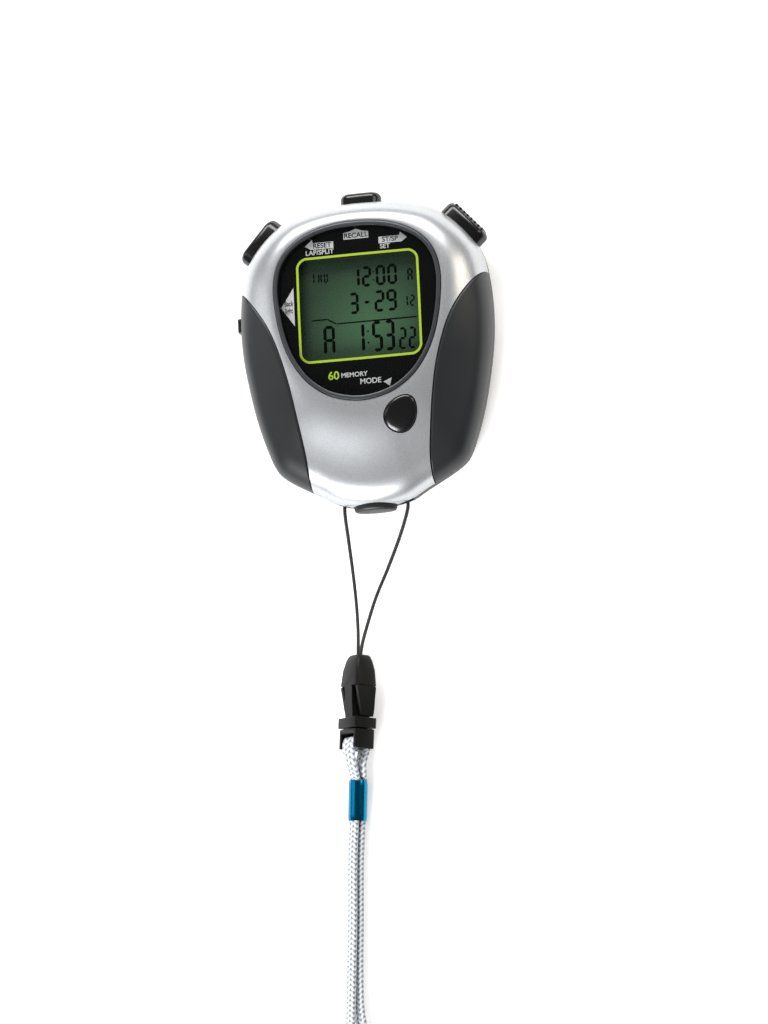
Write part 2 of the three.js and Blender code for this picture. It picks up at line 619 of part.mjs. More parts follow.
function zebraStrip(y) {
  return box([-15, y - 0.8, BOARD.top + GAP], [15, y + 0.8, DISPLAY.bottom - GAP]);
}

add('lens_bezel', lensBezel(), 'gunmetal');
add('lens', prism(inset(LENS_OUTLINE, LENS.ring + GAP), LENS.bottom, LENS.top), 'clear');
add('lcd_holder', lcdHolder(), 'holder');
add('lcd_panel', box(
  [-DISPLAY.halfX, DISPLAY.y - DISPLAY.halfY, DISPLAY.bottom],
  [DISPLAY.halfX, DISPLAY.y + DISPLAY.halfY, DISPLAY.top],
), 'lcd');
add('backlight_panel', box(
  [-15.4, DISPLAY.y - 12.6, DISPLAY.bottom - 0.8], [15.4, DISPLAY.y + 12.6, DISPLAY.bottom - GAP],
), 'white');
add('zebra_strip_upper', zebraStrip(DISPLAY.y + 14.1), 'zebra');
add('zebra_strip_lower', zebraStrip(DISPLAY.y - 14.1), 'zebra');

// ---------- board, battery and buzzer ----------

function circuitBoard() {
  const holes = BOARD_SCREWS.map(([x, y]) => upright(x, y, BOARD_SCREW.shaftR + GAP, 0,
    OUTSIDE, 12));
  return cut(prism(pairs(BOARD_OUTLINE), BOARD.bottom, BOARD.top), ...holes);
}

const UNDER_BOARD = BOARD.bottom - GAP;

function crystal() {
  const geometry = new THREE.CylinderGeometry(1, 1, 6, 14);
  return solid(geometry.translate(13, -12, UNDER_BOARD - 1));
}

function batteryHolder() {
  const ring = tube(0, HATCH.y, 10.4, 11.4, 4.6, UNDER_BOARD, 32);
  return ring.subtract(box([-12, HATCH.y - 3, 0], [-9, HATCH.y + 3, OUTSIDE]));
}

function negativeContact() {
  const leaf = box([-6, HATCH.y - 2, 6.5], [8, HATCH.y + 2, 6.8]);
  return leaf.add(box([7.7, HATCH.y - 2, 6.5], [8, HATCH.y + 2, UNDER_BOARD]));
}

function buzzerSpring(x, y) {
  const from = BUZZER.bottom + BUZZER.thickness + GAP;
  const geometry = helixGeometry(1.1, 0.2, 6, from, UNDER_BOARD);
  return solid(geometry.translate(x, y, 0));
}

const cellTop = CELL.bottom + CELL.height;
add('circuit_board', circuitBoard(), 'board');
add('clock_chip', turned(-14, -12, [
  [0, UNDER_BOARD], [3.5, UNDER_BOARD], [2.6, UNDER_BOARD - 0.9], [0, UNDER_BOARD - 1.3],
], 16), 'black');
add('quartz_crystal', crystal(), 'steel');
add('battery_holder', batteryHolder(), 'holder');
add('coin_cell', turned(0, HATCH.y, [
  [0, CELL.bottom], [CELL.r, CELL.bottom], [CELL.r, cellTop - 0.5], [8.6, cellTop - 0.5],
  [8.6, cellTop], [0, cellTop],
], 28), 'steel');
add('battery_contact_negative', negativeContact(), 'brass');
add('battery_contact_positive', box(
  [-10.6, HATCH.y - 2, 4.6], [-10.3, HATCH.y + 2, UNDER_BOARD],
), 'brass');
add('buzzer_disc', upright(0, BUZZER.y, BUZZER.r, BUZZER.bottom,
  BUZZER.bottom + BUZZER.thickness, 24), 'brass');
add('buzzer_spring_centre', buzzerSpring(0, -20.5), 'steel');
add('buzzer_spring_rim', buzzerSpring(6.4, -17.2), 'steel');

// ---------- strap lug and string ----------

function strapLug() {
  const head = ovalPlate(0, LUG.front + 0.9, LUG.back, 0.9);
  const flange = ovalPlate(LUG.lip, LUG.back - 0.1, LUG.back + 0.8, 0);
  const neck = box([-2.6, LUG.back, LUG.z - 2.5], [2.6, -35.6, LUG.z + 2.5]);
  return union(head, flange, neck);
}

add('strap_lug', strapLug(), 'lug');

// ---------- clip ----------

// The clip's frame: local x is p, local y is q, local z is r.
const heading = THREE.MathUtils.degToRad(CLIP.heading);
const clipAlong = new THREE.Vector3(Math.cos(heading), Math.sin(heading), 0);
const clipAcross = new THREE.Vector3(0, 0, 1).cross(clipAlong)
  .applyAxisAngle(clipAlong, THREE.MathUtils.degToRad(CLIP.roll));
const clipThrough = clipAlong.clone().cross(clipAcross);
const clipFrame = new THREE.Matrix4().makeBasis(clipAcross, clipThrough, clipAlong)
  .setPosition(CLIP.x, CLIP.y, CLIP.z);
const onClip = (shape) => shape.transform(clipFrame.elements);
const clipBlock = (p, q, from, to) => box([-p, -q, from], [p, q, to]);

// A closed loft through rectangles with chamfered corners, each [p, q, r].
function clipLoft(sections) {
  const corner = 0.7;
  const profile = [new THREE.Vector2(0, 0)];
  sections.forEach((unused, i) => profile.push(new THREE.Vector2(1, i)));
  profile.push(new THREE.Vector2(0, sections.length));
  const geometry = new THREE.LatheGeometry(profile, 8);
  const position = geometry.attributes.position;
  for (let i = 0; i <= 8; i += 1) {
    const side = i % 8;
    const first = i * profile.length;
    position.setXYZ(first, 0, 0, sections[0][2]);
    sections.forEach(([p, q, r], j) => {
      const signP = side < 4 ? 1 : -1;
      const signQ = side > 1 && side < 6 ? -1 : 1;
      const narrow = side % 4 === 0 || side % 4 === 3;
      const x = signP * (narrow ? p - corner : p);
      const y = signQ * (narrow ? q : q - corner);
      position.setXYZ(first + 1 + j, x, y, r);
    });
    position.setXYZ(first + profile.length - 1, 0, 0, sections.at(-1)[2]);
  }
  return solid(geometry);
}

function clipSocket() {
  const mouth = [CLIP_MOUTH.p, CLIP_MOUTH.q, CLIP_MOUTH.r];
  const { p, q, from, to } = CLIP_COLLAR;
  const body = clipLoft([...CLIP_DOME, mouth]);
  const collar = clipLoft([[p, q, from], [p, q, to]]);
  const windows = [-1, 1].map((side) => box(
    [side > 0 ? CLIP_CORE : -8, -8, 8], [side > 0 ? 8 : -CLIP_CORE, 8, CLIP_MOUTH.r],
  ));
  const cavity = clipBlock(CLIP_VOID.p, CLIP_VOID.q, CLIP_VOID.from, to + 1);
  const stringWell = box([-2.6, -1.05, 2.2], [2.6, 1.05, CLIP_VOID.from + 0.5]);
  const stringMouth = box([-1.6, -1.05, -1], [1.6, 1.05, 3]);
  const post = new THREE.CylinderGeometry(STRING_POST.radius, STRING_POST.radius, 3, 12);
  post.translate(0, 0, STRING_POST.r);
  const open = union(cavity, cut(stringWell, solid(post)), stringMouth);
  return cut(body, ...windows).add(collar).subtract(open);
}

function clipTongue() {
  const { p, q, from, to } = CLIP_BASE;
  const base = clipLoft([[p, q, from], [p, q, to]]);
  const frame = clipLoft([[p, q, to - 0.5], [p, q, CLIP_FRAME.to]]);
  const window = clipBlock(CLIP_FRAME.window, 8, to, CLIP_FRAME.barFrom);
  const openSides = [-1, 1].map((side) => {
    const low = side > 0 ? CLIP_FRAME.barQ : -8;
    return box([-CLIP_FRAME.window, low, to], [CLIP_FRAME.window, low + 8 - CLIP_FRAME.barQ, 30]);
  });
  const guide = clipBlock(CLIP_GUIDE.p, CLIP_GUIDE.q, CLIP_GUIDE.from, from + 0.5);
  return union(base, cut(frame, window, ...openSides), guide);
}

function clipArm(side) {
  const { inner, outer: outside, from, to, wideQ, narrowQ } = CLIP_ARM;
  const pad = new THREE.Shape(pairs([[-wideQ, from], [wideQ, from], [narrowQ, to],
    [-narrowQ, to]]));
  const geometry = new THREE.ExtrudeGeometry(pad, { depth: outside - inner, bevelEnabled: false });
  // shape x becomes q, shape y becomes r, and the extrusion becomes p
  geometry.applyMatrix4(new THREE.Matrix4().set(0, 0, 1, inner, 1, 0, 0, 0, 0, 1, 0, 0,
    0, 0, 0, 1));
  const stem = box([CLIP_STEM.inner, -CLIP_STEM.q, to - 2], [CLIP_STEM.outer, CLIP_STEM.q,
    CLIP_BASE.from - GAP]);
  const arm = solid(geometry).add(stem);
  return side > 0 ? arm : arm.mirror([1, 0, 0]);
}

add('clip_socket', onClip(clipSocket()), 'black');
add('clip_tongue', onClip(clipTongue()), 'black');
add('clip_arm_right', onClip(clipArm(1)), 'black');
add('clip_arm_left', onClip(clipArm(-1)), 'black');

// ---------- cords ----------

const fromClip = (p, q, r) => new THREE.Vector3(p, q, r).applyMatrix4(clipFrame);
const vectors = (list) => list.map((point) => new THREE.Vector3(...point));

function roundCord(points, radius, steps) {
  const path = new THREE.CatmullRomCurve3(points);
  return solid(new THREE.ExtrudeGeometry(new THREE.Shape(ellipse(radius, radius, 8)), {
    steps, extrudePath: path,
  }));
}

// A flat cord keeps its broad face turned the way the clip is rolled.
function flatCord(points, steps) {
  const path = new THREE.CatmullRomCurve3(points);
  path.computeFrenetFrames = (segments) => {
    const frames = { tangents: [], normals: [], binormals: [] };
    for (let i = 0; i <= segments; i += 1) {
      const tangent = path.getTangentAt(i / segments);
      const binormal = tangent.clone().cross(clipAcross).normalize();
      frames.tangents.push(tangent);
      frames.normals.push(binormal.clone().cross(tangent).normalize());
      frames.binormals.push(binormal);
    }
    return frames;
  };
  return solid(new THREE.ExtrudeGeometry(new THREE.Shape(ellipse(BRAID.half, BRAID.thick, 8)), {
    steps, extrudePath: path,
  }));
}

const stringBight = STRING_BIGHT.map(([p, r]) => fromClip(p, 0, r));
add('strap_string', roundCord(
  [...vectors(STRING_ROUTE), ...stringBight, ...vectors(STRING_RETURN)], STRING_R, 78,
), 'string');

const ferruleFrom = new THREE.Vector3(...FERRULE.from);
const ferruleTo = new THREE.Vector3(...FERRULE.to);
const beside = (point, side) => point.clone().addScaledVector(clipThrough, side * BRAID.pair);

function cordBight() {
  const barR = CLIP_FRAME.barFrom - GAP - BRAID.thick - 0.1;
  const inFerrule = ferruleFrom.clone().lerp(ferruleTo, 0.45);
  const leg = (side) => [
    beside(inFerrule, side), beside(ferruleFrom, side), fromClip(0, side * 1.9, 28),
    fromClip(0, side * BIGHT_Q, 24.4),
  ];
  const top = [fromClip(0, BIGHT_Q - 0.5, barR + 0.4), fromClip(0, 1.2, barR - 0.2),
    fromClip(0, -1.2, barR - 0.2), fromClip(0, 0.5 - BIGHT_Q, barR + 0.4)];
  return flatCord([...leg(1), ...top, ...leg(-1).reverse()], 34);
}

function ferrule() {
  const { p, q, wall } = FERRULE;
  const length = ferruleFrom.distanceTo(ferruleTo);
  const shape = new THREE.Shape(ellipse(p, q, 24));
  shape.holes.push(new THREE.Path(ellipse(p - wall, q - wall, 24)));
  const geometry = new THREE.ExtrudeGeometry(shape, { depth: length, bevelEnabled: false });
  const along = ferruleTo.clone().sub(ferruleFrom).normalize();
  const through = along.clone().cross(clipAcross).normalize();
  const across = through.clone().cross(along);
  const frame = new THREE.Matrix4().makeBasis(across, through, along).setPosition(ferruleFrom);
  return solid(geometry.applyMatrix4(frame));
}

function strand(route, side, steps) {
  const inFerrule = ferruleFrom.clone().lerp(ferruleTo, 0.5);
  const points = vectors(route).map((point) => beside(point, side));
  points[0] = beside(inFerrule, side);
  return flatCord(points, steps);
}

function coil() {
  const { x, y, inner, outer: outside, height } = COIL;
  return turned(x, y, [
    [inner, 1], [inner + 1, 0], [outside - 1, 0], [outside, 1], [outside, height - 1],
    [outside - 1, height], [inner + 1, height], [inner, height - 1], [inner, 1],
  ], 40);
}

add('cord_ferrule', ferrule(), 'blue');
add('cord_bight', cordBight(), 'braid');
add('cord_strand_left', strand(STRAND_LEFT, 1, 30), 'braid');
add('cord_strand_right', strand(STRAND_RIGHT, -1, 32), 'braid');
add('cord_coil', coil(), 'braid');

export default stopwatch;
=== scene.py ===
"""Digital sports stopwatch with rubber side grips and a quick-release neck lanyard.

The stopwatch lies on its back: +Z is out of the display and +Y towards the recall button.
Pieces are shaped in millimetres and scaled to metres as they are finished; the routes of the
cords are in metres.
"""
import math

import bmesh
import bpy
import numpy as np
from mathutils import Matrix, Vector


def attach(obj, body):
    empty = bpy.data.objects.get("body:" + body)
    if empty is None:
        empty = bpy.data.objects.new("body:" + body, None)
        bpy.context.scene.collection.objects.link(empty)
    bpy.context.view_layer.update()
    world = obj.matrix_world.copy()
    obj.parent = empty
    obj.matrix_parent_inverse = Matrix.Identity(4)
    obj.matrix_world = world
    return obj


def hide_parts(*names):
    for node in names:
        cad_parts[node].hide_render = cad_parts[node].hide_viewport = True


bl_info = {
    "name": "Sports Stopwatch",
    "version": (1, 0, 0),
    "blender": (4, 5, 0),
    "location": "View3D > Sidebar > Stopwatch",
    "description": "Builds a digital stopwatch with side grips and a neck lanyard",
    "category": "Add Mesh",
}

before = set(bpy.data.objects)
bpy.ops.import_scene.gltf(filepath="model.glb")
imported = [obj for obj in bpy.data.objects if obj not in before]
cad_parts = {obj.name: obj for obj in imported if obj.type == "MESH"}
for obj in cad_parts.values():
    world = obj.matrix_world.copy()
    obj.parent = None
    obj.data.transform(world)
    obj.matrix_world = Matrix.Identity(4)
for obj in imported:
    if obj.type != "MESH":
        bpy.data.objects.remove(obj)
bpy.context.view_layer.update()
MM = 0.001

# ---------- the case's form, in millimetres ----------

LENS_CENTRE = (0.0, 8.5)
PARTING_Z = 9.0
RIM_Z = 20.6
BACK_ROUNDING = 4.5
WALL = 2.4
CASE_HALF = [
    (0, 39.2), (8.2, 38.8), (15, 37.5), (20.6, 35.4), (26.3, 30.7), (30.6, 24.9), (32.4, 18.5),
    (33.2, 9), (32.8, 0), (31.3, -9.5), (29.4, -18), (26.8, -26), (24.6, -30.4), (20.6, -33.4),
    (14, -37), (8.6, -39.9), (0, -41.2),
]
LENS_HALF = [
    (0, 32.1), (7.2, 31.5), (13.2, 29.6), (18, 26.3), (20.9, 21.9), (22, 16.5), (21.8, 11),
    (20.9, 5), (19.3, -0.6), (16.8, -5.6), (13.2, -10), (7.6, -13.6), (0, -15.1),
]
GRIP_EDGE = [
    (37, 20.2), (32.4, 17.6), (27.6, 12), (23.8, 5.7), (21.3, -0.9), (19.2, -8.9), (17.5, -18.9),
    (16.2, -28.9), (16.1, -36.9), (16.8, -42),
]
OUTLINE_SAMPLES = 1440
OUTLINE_SMOOTHING = 9  # samples either side, which softens the joints between curve pieces
OUTLINE_STEPS = 24  # points of an outline's curve between two of its given ones
CASE_SEGMENTS = 256
OUTSIDE = 60.0  # beyond every side of the case
FALL_REACH = 0.75  # how far out the front's gentle fall goes on
FALL_AT_HEAD = 0.05
FALL_MORE_AT_FOOT = 0.33
SHOULDER_AT_HEAD = 2.4  # a higher power makes a squarer shoulder
SHOULDER_MORE_AT_FOOT = 2.6
FOOT_GATHERS = 1.5  # a higher power keeps the foot's form nearer the foot


def catmull_rom(points, steps, closed=False):
    """Points along a smooth curve through the given ones."""
    count = len(points)
    spans = count if closed else count - 1
    curve = []
    for i in range(spans):
        around = []
        for k in (-1, 0, 1, 2):
            j = (i + k) % count if closed else min(max(i + k, 0), count - 1)
            around.append(Vector(points[j]))
        before, start, end, after = around
        for step in range(steps):
            t = step / steps
            curve.append(0.5 * (
                2 * start + (end - before) * t
                + (2 * before - 5 * start + 4 * end - after) * t * t
                + (3 * start - 3 * end + after - before) * t ** 3
            ))
    if not closed:
        curve.append(Vector(points[-1]))
    return curve


def eased(t):
    """A smooth rise from 0 to 1, level at both ends."""
    return t * t * (3 - 2 * t)


ANGLES = np.linspace(0, 2 * math.pi, OUTLINE_SAMPLES, endpoint=False)


def to_radii(xy):
    """Distances from the lens centre to an outline, one for each of ANGLES."""
    x = xy[:, 0] - LENS_CENTRE[0]
    y = xy[:, 1] - LENS_CENTRE[1]
    angle = np.mod(np.arctan2(y, x), 2 * math.pi)
    order = np.argsort(angle)
    return np.interp(ANGLES, angle[order], np.hypot(x, y)[order], period=2 * math.pi)


def to_points(radii):
    x = LENS_CENTRE[0] + radii * np.cos(ANGLES)
    y = LENS_CENTRE[1] + radii * np.sin(ANGLES)
    return np.stack([x, y], axis=1)


def half_outline(half):
    """The radii of a symmetrical outline, given by its right half."""
    whole = list(half) + [(-x, y) for x, y in reversed(half[1:-1])]
    points = np.array([tuple(p) for p in catmull_rom(whole, OUTLINE_STEPS, closed=True)])
    radii = to_radii(points)
    width = 2 * OUTLINE_SMOOTHING + 1
    weights = np.hanning(width + 2)[1:-1]
    padded = np.concatenate([radii[-OUTLINE_SMOOTHING:], radii, radii[:OUTLINE_SMOOTHING]])
    return np.convolve(padded, weights / weights.sum(), mode="valid")


def inset(radii, distance):
    """An outline moved inwards along its own normals."""
    points = to_points(radii)
    along = np.roll(points, -1, axis=0) - np.roll(points, 1, axis=0)
    along /= np.linalg.norm(along, axis=1)[:, None]
    return to_radii(points + distance * np.stack([-along[:, 1], along[:, 0]], axis=1))


CASE_RADII = half_outline(CASE_HALF)
LENS_RADII = half_outline(LENS_HALF)


def radius_at(radii, angle):
    return float(np.interp(angle % (2 * math.pi), ANGLES, radii, period=2 * math.pi))


def front_height(angle, s):
    """The front's height: 1 at the lens rim, 0 at the parting line."""
    foot = ((1 - math.sin(angle)) / 2) ** FOOT_GATHERS
    fall = 1 - (FALL_AT_HEAD + FALL_MORE_AT_FOOT * foot) * eased(min(1.0, s / FALL_REACH))
    power = SHOULDER_AT_HEAD + SHOULDER_MORE_AT_FOOT * foot
    return fall * math.sqrt(max(0.0, 1 - s ** power))


def front_point(angle, s, distance=0.0, radii=None):
    """A point of the front, s going from the lens rim to the parting line."""
    edge = CASE_RADII if radii is None else radii
    reach = radius_at(LENS_RADII, angle) * (1 - s) + radius_at(edge, angle) * s
    z = PARTING_Z + (RIM_Z - distance - PARTING_Z) * front_height(angle, s)
    return Vector((
        LENS_CENTRE[0] + reach * math.cos(angle), LENS_CENTRE[1] + reach * math.sin(angle), z,
    ))


def front_s(x, y):
    """The angle and the s of a place on the front."""
    dx, dy = x - LENS_CENTRE[0], y - LENS_CENTRE[1]
    angle = math.atan2(dy, dx)
    lens, edge = radius_at(LENS_RADII, angle), radius_at(CASE_RADII, angle)
    return angle, (math.hypot(dx, dy) - lens) / (edge - lens)


def front_z(x, y):
    angle, s = front_s(x, y)
    return front_point(angle, min(max(s, 0.0), 1.0)).z


# ---------- mesh helpers ----------

TOUCHING = 1e-4  # points nearer than this, in millimetres, are one


def face_from(bm, points):
    return bm.faces.new([bm.verts.new(point) for point in points])


def thicken(bm, height):
    """Raises flat faces into closed solids of that height."""
    raised = bmesh.ops.extrude_face_region(bm, geom=bm.faces[:])
    moved = [v for v in raised["geom"] if isinstance(v, bmesh.types.BMVert)]
    bmesh.ops.translate(bm, vec=(0, 0, height), verts=moved)
    bmesh.ops.recalc_face_normals(bm, faces=bm.faces)


def prism(points, bottom, top):
    """An upright prism on a list of (x, y) points."""
    bm = bmesh.new()
    face_from(bm, [(x, y, bottom) for x, y in points])
    thicken(bm, top - bottom)
    return bm


def shifted(bm, x, y, z):
    bmesh.ops.translate(bm, vec=(x, y, z), verts=bm.verts)
    return bm


def placed(bm, matrix):
    bmesh.ops.transform(bm, matrix=matrix, verts=bm.verts)
    return bm


def block(low, high, bevel=0.0, segments=2):
    """A box from its lowest to its highest corner, with rounded edges."""
    bm = bmesh.new()
    bmesh.ops.create_cube(bm, size=1)
    size = [b - a for a, b in zip(low, high)]
    middle = [(a + b) / 2 for a, b in zip(low, high)]
    bmesh.ops.scale(bm, vec=size, verts=bm.verts)
    shifted(bm, *middle)
    if bevel:
        round_edges(bm, bm.edges, bevel, segments)
    return bm


def round_edges(bm, edges, width, segments):
    bmesh.ops.bevel(
        bm, geom=list(edges), offset=width, affect="EDGES", segments=segments, profile=0.5,
        clamp_overlap=True, material=-1,
    )


def column(x, y, radius, bottom, top, sides=48):
    bm = bmesh.new()
    bmesh.ops.create_cone(
        bm, cap_ends=True, segments=sides, radius1=radius, radius2=radius, depth=top - bottom,
    )
    return shifted(bm, x, y, (top + bottom) / 2)


def turned(x, y, profile, sides=64):
    """A turned piece from (radius, height) points that start and end on the axis."""
    bm = bmesh.new()
    points = [bm.verts.new((r, 0, z)) for r, z in profile]
    edges = [bm.edges.new(pair) for pair in zip(points, points[1:])]
    bmesh.ops.spin(
        bm, geom=points + edges, cent=(0, 0, 0), axis=(0, 0, 1), angle=2 * math.pi, steps=sides,
        use_merge=True,
    )
    bmesh.ops.remove_doubles(bm, verts=bm.verts, dist=TOUCHING)
    bmesh.ops.recalc_face_normals(bm, faces=bm.faces)
    return shifted(bm, x, y, 0)


def loft(bm, rings):
    """Skins rings of points with quads and returns each ring's vertices in order."""
    count = len(rings[0])
    bmesh.ops.create_circle(bm, segments=count, radius=1)
    bm.verts.ensure_lookup_table()
    current = list(bm.verts)
    for vert, point in zip(current, rings[0]):
        vert.co = point
    made = [current]
    for ring in rings[1:]:
        grown = bmesh.ops.extrude_edge_only(bm, edges=ring_edges(bm, current))["geom"]
        copies = {v for v in grown if isinstance(v, bmesh.types.BMVert)}
        current = [next(e.other_vert(v) for e in v.link_edges if e.other_vert(v) in copies)
                   for v in current]
        for vert, point in zip(current, ring):
            vert.co = point
        made.append(current)
    return made


def ring_edges(bm, ring):
    return [bm.edges.get((a, b)) for a, b in zip(ring, ring[1:] + ring[:1])]


def ring_loft(rings, joined=False):
    """A closed skin through rings of points. joined closes the last ring on to the first."""
    bm = bmesh.new()
    made = loft(bm, rings)
    if joined:
        bmesh.ops.bridge_loops(bm, edges=ring_edges(bm, made[0]) + ring_edges(bm, made[-1]))
    else:
        bmesh.ops.holes_fill(bm, edges=[e for e in bm.edges if e.is_boundary], sides=0)
    bmesh.ops.recalc_face_normals(bm, faces=bm.faces)
    return bm


def as_object(bm, name):
    mesh = bpy.data.meshes.new(name)
    bm.to_mesh(mesh)
    made = bpy.data.objects.new(name, mesh)
    bpy.context.scene.collection.objects.link(made)
    return made


def combine(base, tools, operation, solver="MANIFOLD"):
    """Cuts or joins closed meshes and returns what is left."""
    target = as_object(base, "working")
    helpers = [as_object(tool, "tool") for tool in tools]
    for helper in helpers:
        modifier = target.modifiers.new("boolean", "BOOLEAN")
        modifier.operation = operation
        modifier.solver = solver
        modifier.object = helper
    bpy.context.view_layer.update()
    graph = bpy.context.evaluated_depsgraph_get()
    result = bmesh.new()
    result.from_mesh(target.evaluated_get(graph).to_mesh())
    for made in [target, *helpers]:
        mesh = made.data
        bpy.data.objects.remove(made)
        bpy.data.meshes.remove(mesh)
    if not result.faces:
        raise RuntimeError("nothing is left after a cut or a join")
    return result


def cut(base, *tools, solver="MANIFOLD"):
    return combine(base, tools, "DIFFERENCE", solver)


def join(base, *tools):
    return combine(base, tools, "UNION")


def add_to(whole, part):
    """Copies one mesh's faces into another, without joining them."""
    mesh = bpy.data.meshes.new("part")
    part.to_mesh(mesh)
    whole.from_mesh(mesh)
    bpy.data.meshes.remove(mesh)


def piece(name, bm, material, body, replaces=(), sharp_angle=35.0, scale=MM):
    """Finishes a shape as a named object that rides on a body."""
    if scale != 1:
        bmesh.ops.scale(bm, vec=(scale,) * 3, verts=bm.verts)
    made = as_object(bm, name)
    made.data.polygons.foreach_set("use_smooth", [True] * len(made.data.polygons))
    made.data.set_sharp_from_angle(angle=math.radians(sharp_angle))
    made.data.materials.append(material)
    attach(made, body)
    if replaces:
        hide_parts(*replaces)
    return made


def bevel_sharp_edges(made, width):
    """Adds a live bevel, its width in millimetres, to an object's sharp edges."""
    modifier = made.modifiers.new("edges", "BEVEL")
    modifier.width = width * MM
    modifier.segments = 2
    modifier.limit_method = "ANGLE"
    modifier.angle_limit = math.radians(40)


# ---------- materials ----------

# a Mix node has several sockets of each name, so the ones for colours go by number
MIX_FACTOR, MIX_FIRST, MIX_SECOND = 0, 6, 7
MIX_COLOUR = 2


def linear(colour):
    """A linear colour, with alpha, from an sRGB hex string."""
    values = [int(colour[i:i + 2], 16) / 255 for i in (1, 3, 5)]
    straight = [v / 12.92 if v <= 0.04045 else ((v + 0.055) / 1.055) ** 2.4 for v in values]
    return (*straight, 1.0)


def set_inputs(tree, node, inputs):
    """Sets a node's inputs, each to a value or to a link from a socket."""
    for socket, value in inputs.items():
        if isinstance(value, bpy.types.NodeSocket):
            tree.links.new(value, node.inputs[socket])
        else:
            node.inputs[socket].default_value = value


def add_node(tree, kind, settings=None, inputs=None):
    """Adds a node with its settings, and its inputs as values or as links."""
    made = tree.nodes.new(kind)
    for key, value in (settings or {}).items():
        setattr(made, key, value)
    set_inputs(tree, made, inputs or {})
    return made


def new_material(name):
    """A plain material, with its tree, its shader and its Object coordinates."""
    made = bpy.data.materials.new(name)
    made.use_nodes = True
    tree = made.node_tree
    shader = tree.nodes["Principled BSDF"]
    coordinates = add_node(tree, "ShaderNodeTexCoord")
    return made, tree, shader, coordinates.outputs["Object"]


def per_metre(size_mm):
    """A texture scale whose features are about that many millimetres across."""
    return 1.0 / (size_mm * MM)


CLOUD_MM = 14  # how broad the faint clouds in a moulding's colour are


def moulded(name, dark, light, roughness, grain_mm, bump_mm, extra=None):
    """An even surface: broad faint clouds in its colour, fine grain in its gloss and relief."""
    made, tree, shader, place = new_material(name)
    grain = add_node(tree, "ShaderNodeTexNoise", inputs={
        "Vector": place, "Scale": per_metre(grain_mm), "Detail": 3.0, "Roughness": 0.6,
    })
    cloud = add_node(tree, "ShaderNodeTexNoise", inputs={
        "Vector": place, "Scale": per_metre(CLOUD_MM), "Detail": 2.0,
    })
    colour = add_node(tree, "ShaderNodeMix", {"data_type": "RGBA"}, {
        MIX_FACTOR: cloud.outputs["Fac"], MIX_FIRST: linear(dark), MIX_SECOND: linear(light),
    })
    gloss = add_node(tree, "ShaderNodeMapRange", inputs={
        "Value": grain.outputs["Fac"], "To Min": roughness - 0.06, "To Max": roughness + 0.08,
    })
    relief = add_node(tree, "ShaderNodeBump", inputs={
        "Height": grain.outputs["Fac"], "Strength": 0.35, "Distance": bump_mm * MM,
    })
    set_inputs(tree, shader, {
        "Base Color": colour.outputs[MIX_COLOUR], "Roughness": gloss.outputs["Result"],
        "Normal": relief.outputs["Normal"], **(extra or {}),
    })
    return made


def metallic_paint():
    """Silver lacquer on ABS: fine aluminium flake that sparkles in a soft clear coat."""
    made, tree, shader, place = new_material("silver_metallic_paint")
    # flakes are really 0.02 mm across and are drawn coarser so that their sparkle shows
    flake = add_node(tree, "ShaderNodeTexVoronoi", {"feature": "F1"}, {
        "Vector": place, "Scale": per_metre(0.22),
    })
    fine = add_node(tree, "ShaderNodeTexNoise", inputs={
        "Vector": place, "Scale": per_metre(0.3), "Detail": 2.0,
    })
    colour = add_node(tree, "ShaderNodeMix", {"data_type": "RGBA"}, {
        MIX_FACTOR: fine.outputs["Fac"], MIX_FIRST: linear("#9C9FA3"),
        MIX_SECOND: linear(colours().silver),
    })
    gloss = add_node(tree, "ShaderNodeMapRange", inputs={
        "Value": flake.outputs["Distance"], "To Min": 0.27, "To Max": 0.38,
    })
    relief = add_node(tree, "ShaderNodeBump", inputs={
        "Height": fine.outputs["Fac"], "Strength": 0.25, "Distance": 0.02 * MM,
    })
    set_inputs(tree, shader, {
        "Base Color": colour.outputs[MIX_COLOUR], "Roughness": gloss.outputs["Result"],
        "Normal": relief.outputs["Normal"], "Metallic": 0.72, "Coat Weight": 0.25,
        "Coat Roughness": 0.12,
    })
    return made


def rubber_grip():
    """Moulded thermoplastic rubber: charcoal, satin, with a broad soft highlight."""
    return moulded("thermoplastic_rubber", "#131518", colours().grip, 0.4, 0.25, 0.02,
                   {"Specular IOR Level": 0.38})


def bezel_paint():
    """Dark grey metallic lacquer on the lens ring, glossier than the case."""
    return moulded("gunmetal_lacquer", "#3C3F41", "#505356", 0.3, 0.2, 0.01, {"Metallic": 0.6})


def textured_abs():
    """Spark-textured black ABS: the fine even matte of the back of a case."""
    return moulded("textured_black_abs", "#17181A", "#202224", 0.5, 0.35, 0.06)


def gloss_abs():
    """Polished black ABS: the deep gloss of the push buttons."""
    return moulded("polished_black_abs", "#070708", "#0E0E0F", 0.2, 0.6, 0.004,
                   {"Specular IOR Level": 0.5})


def acetal():
    """Moulded black acetal: the waxy half gloss of a clip."""
    return moulded("black_acetal", "#040404", "#0A0A0A", 0.42, 0.5, 0.01,
                   {"Specular IOR Level": 0.18})


def satin_lug():
    """Dark grey satin moulding of the strap lug."""
    return moulded("grey_satin_abs", "#131415", "#1C1E1F", 0.42, 0.3, 0.01,
                   {"Specular IOR Level": 0.4})


def matte_moulding():
    """Plain black moulding inside the case."""
    return moulded("matte_black_moulding", "#141515", "#1E201F", 0.6, 0.5, 0.02)


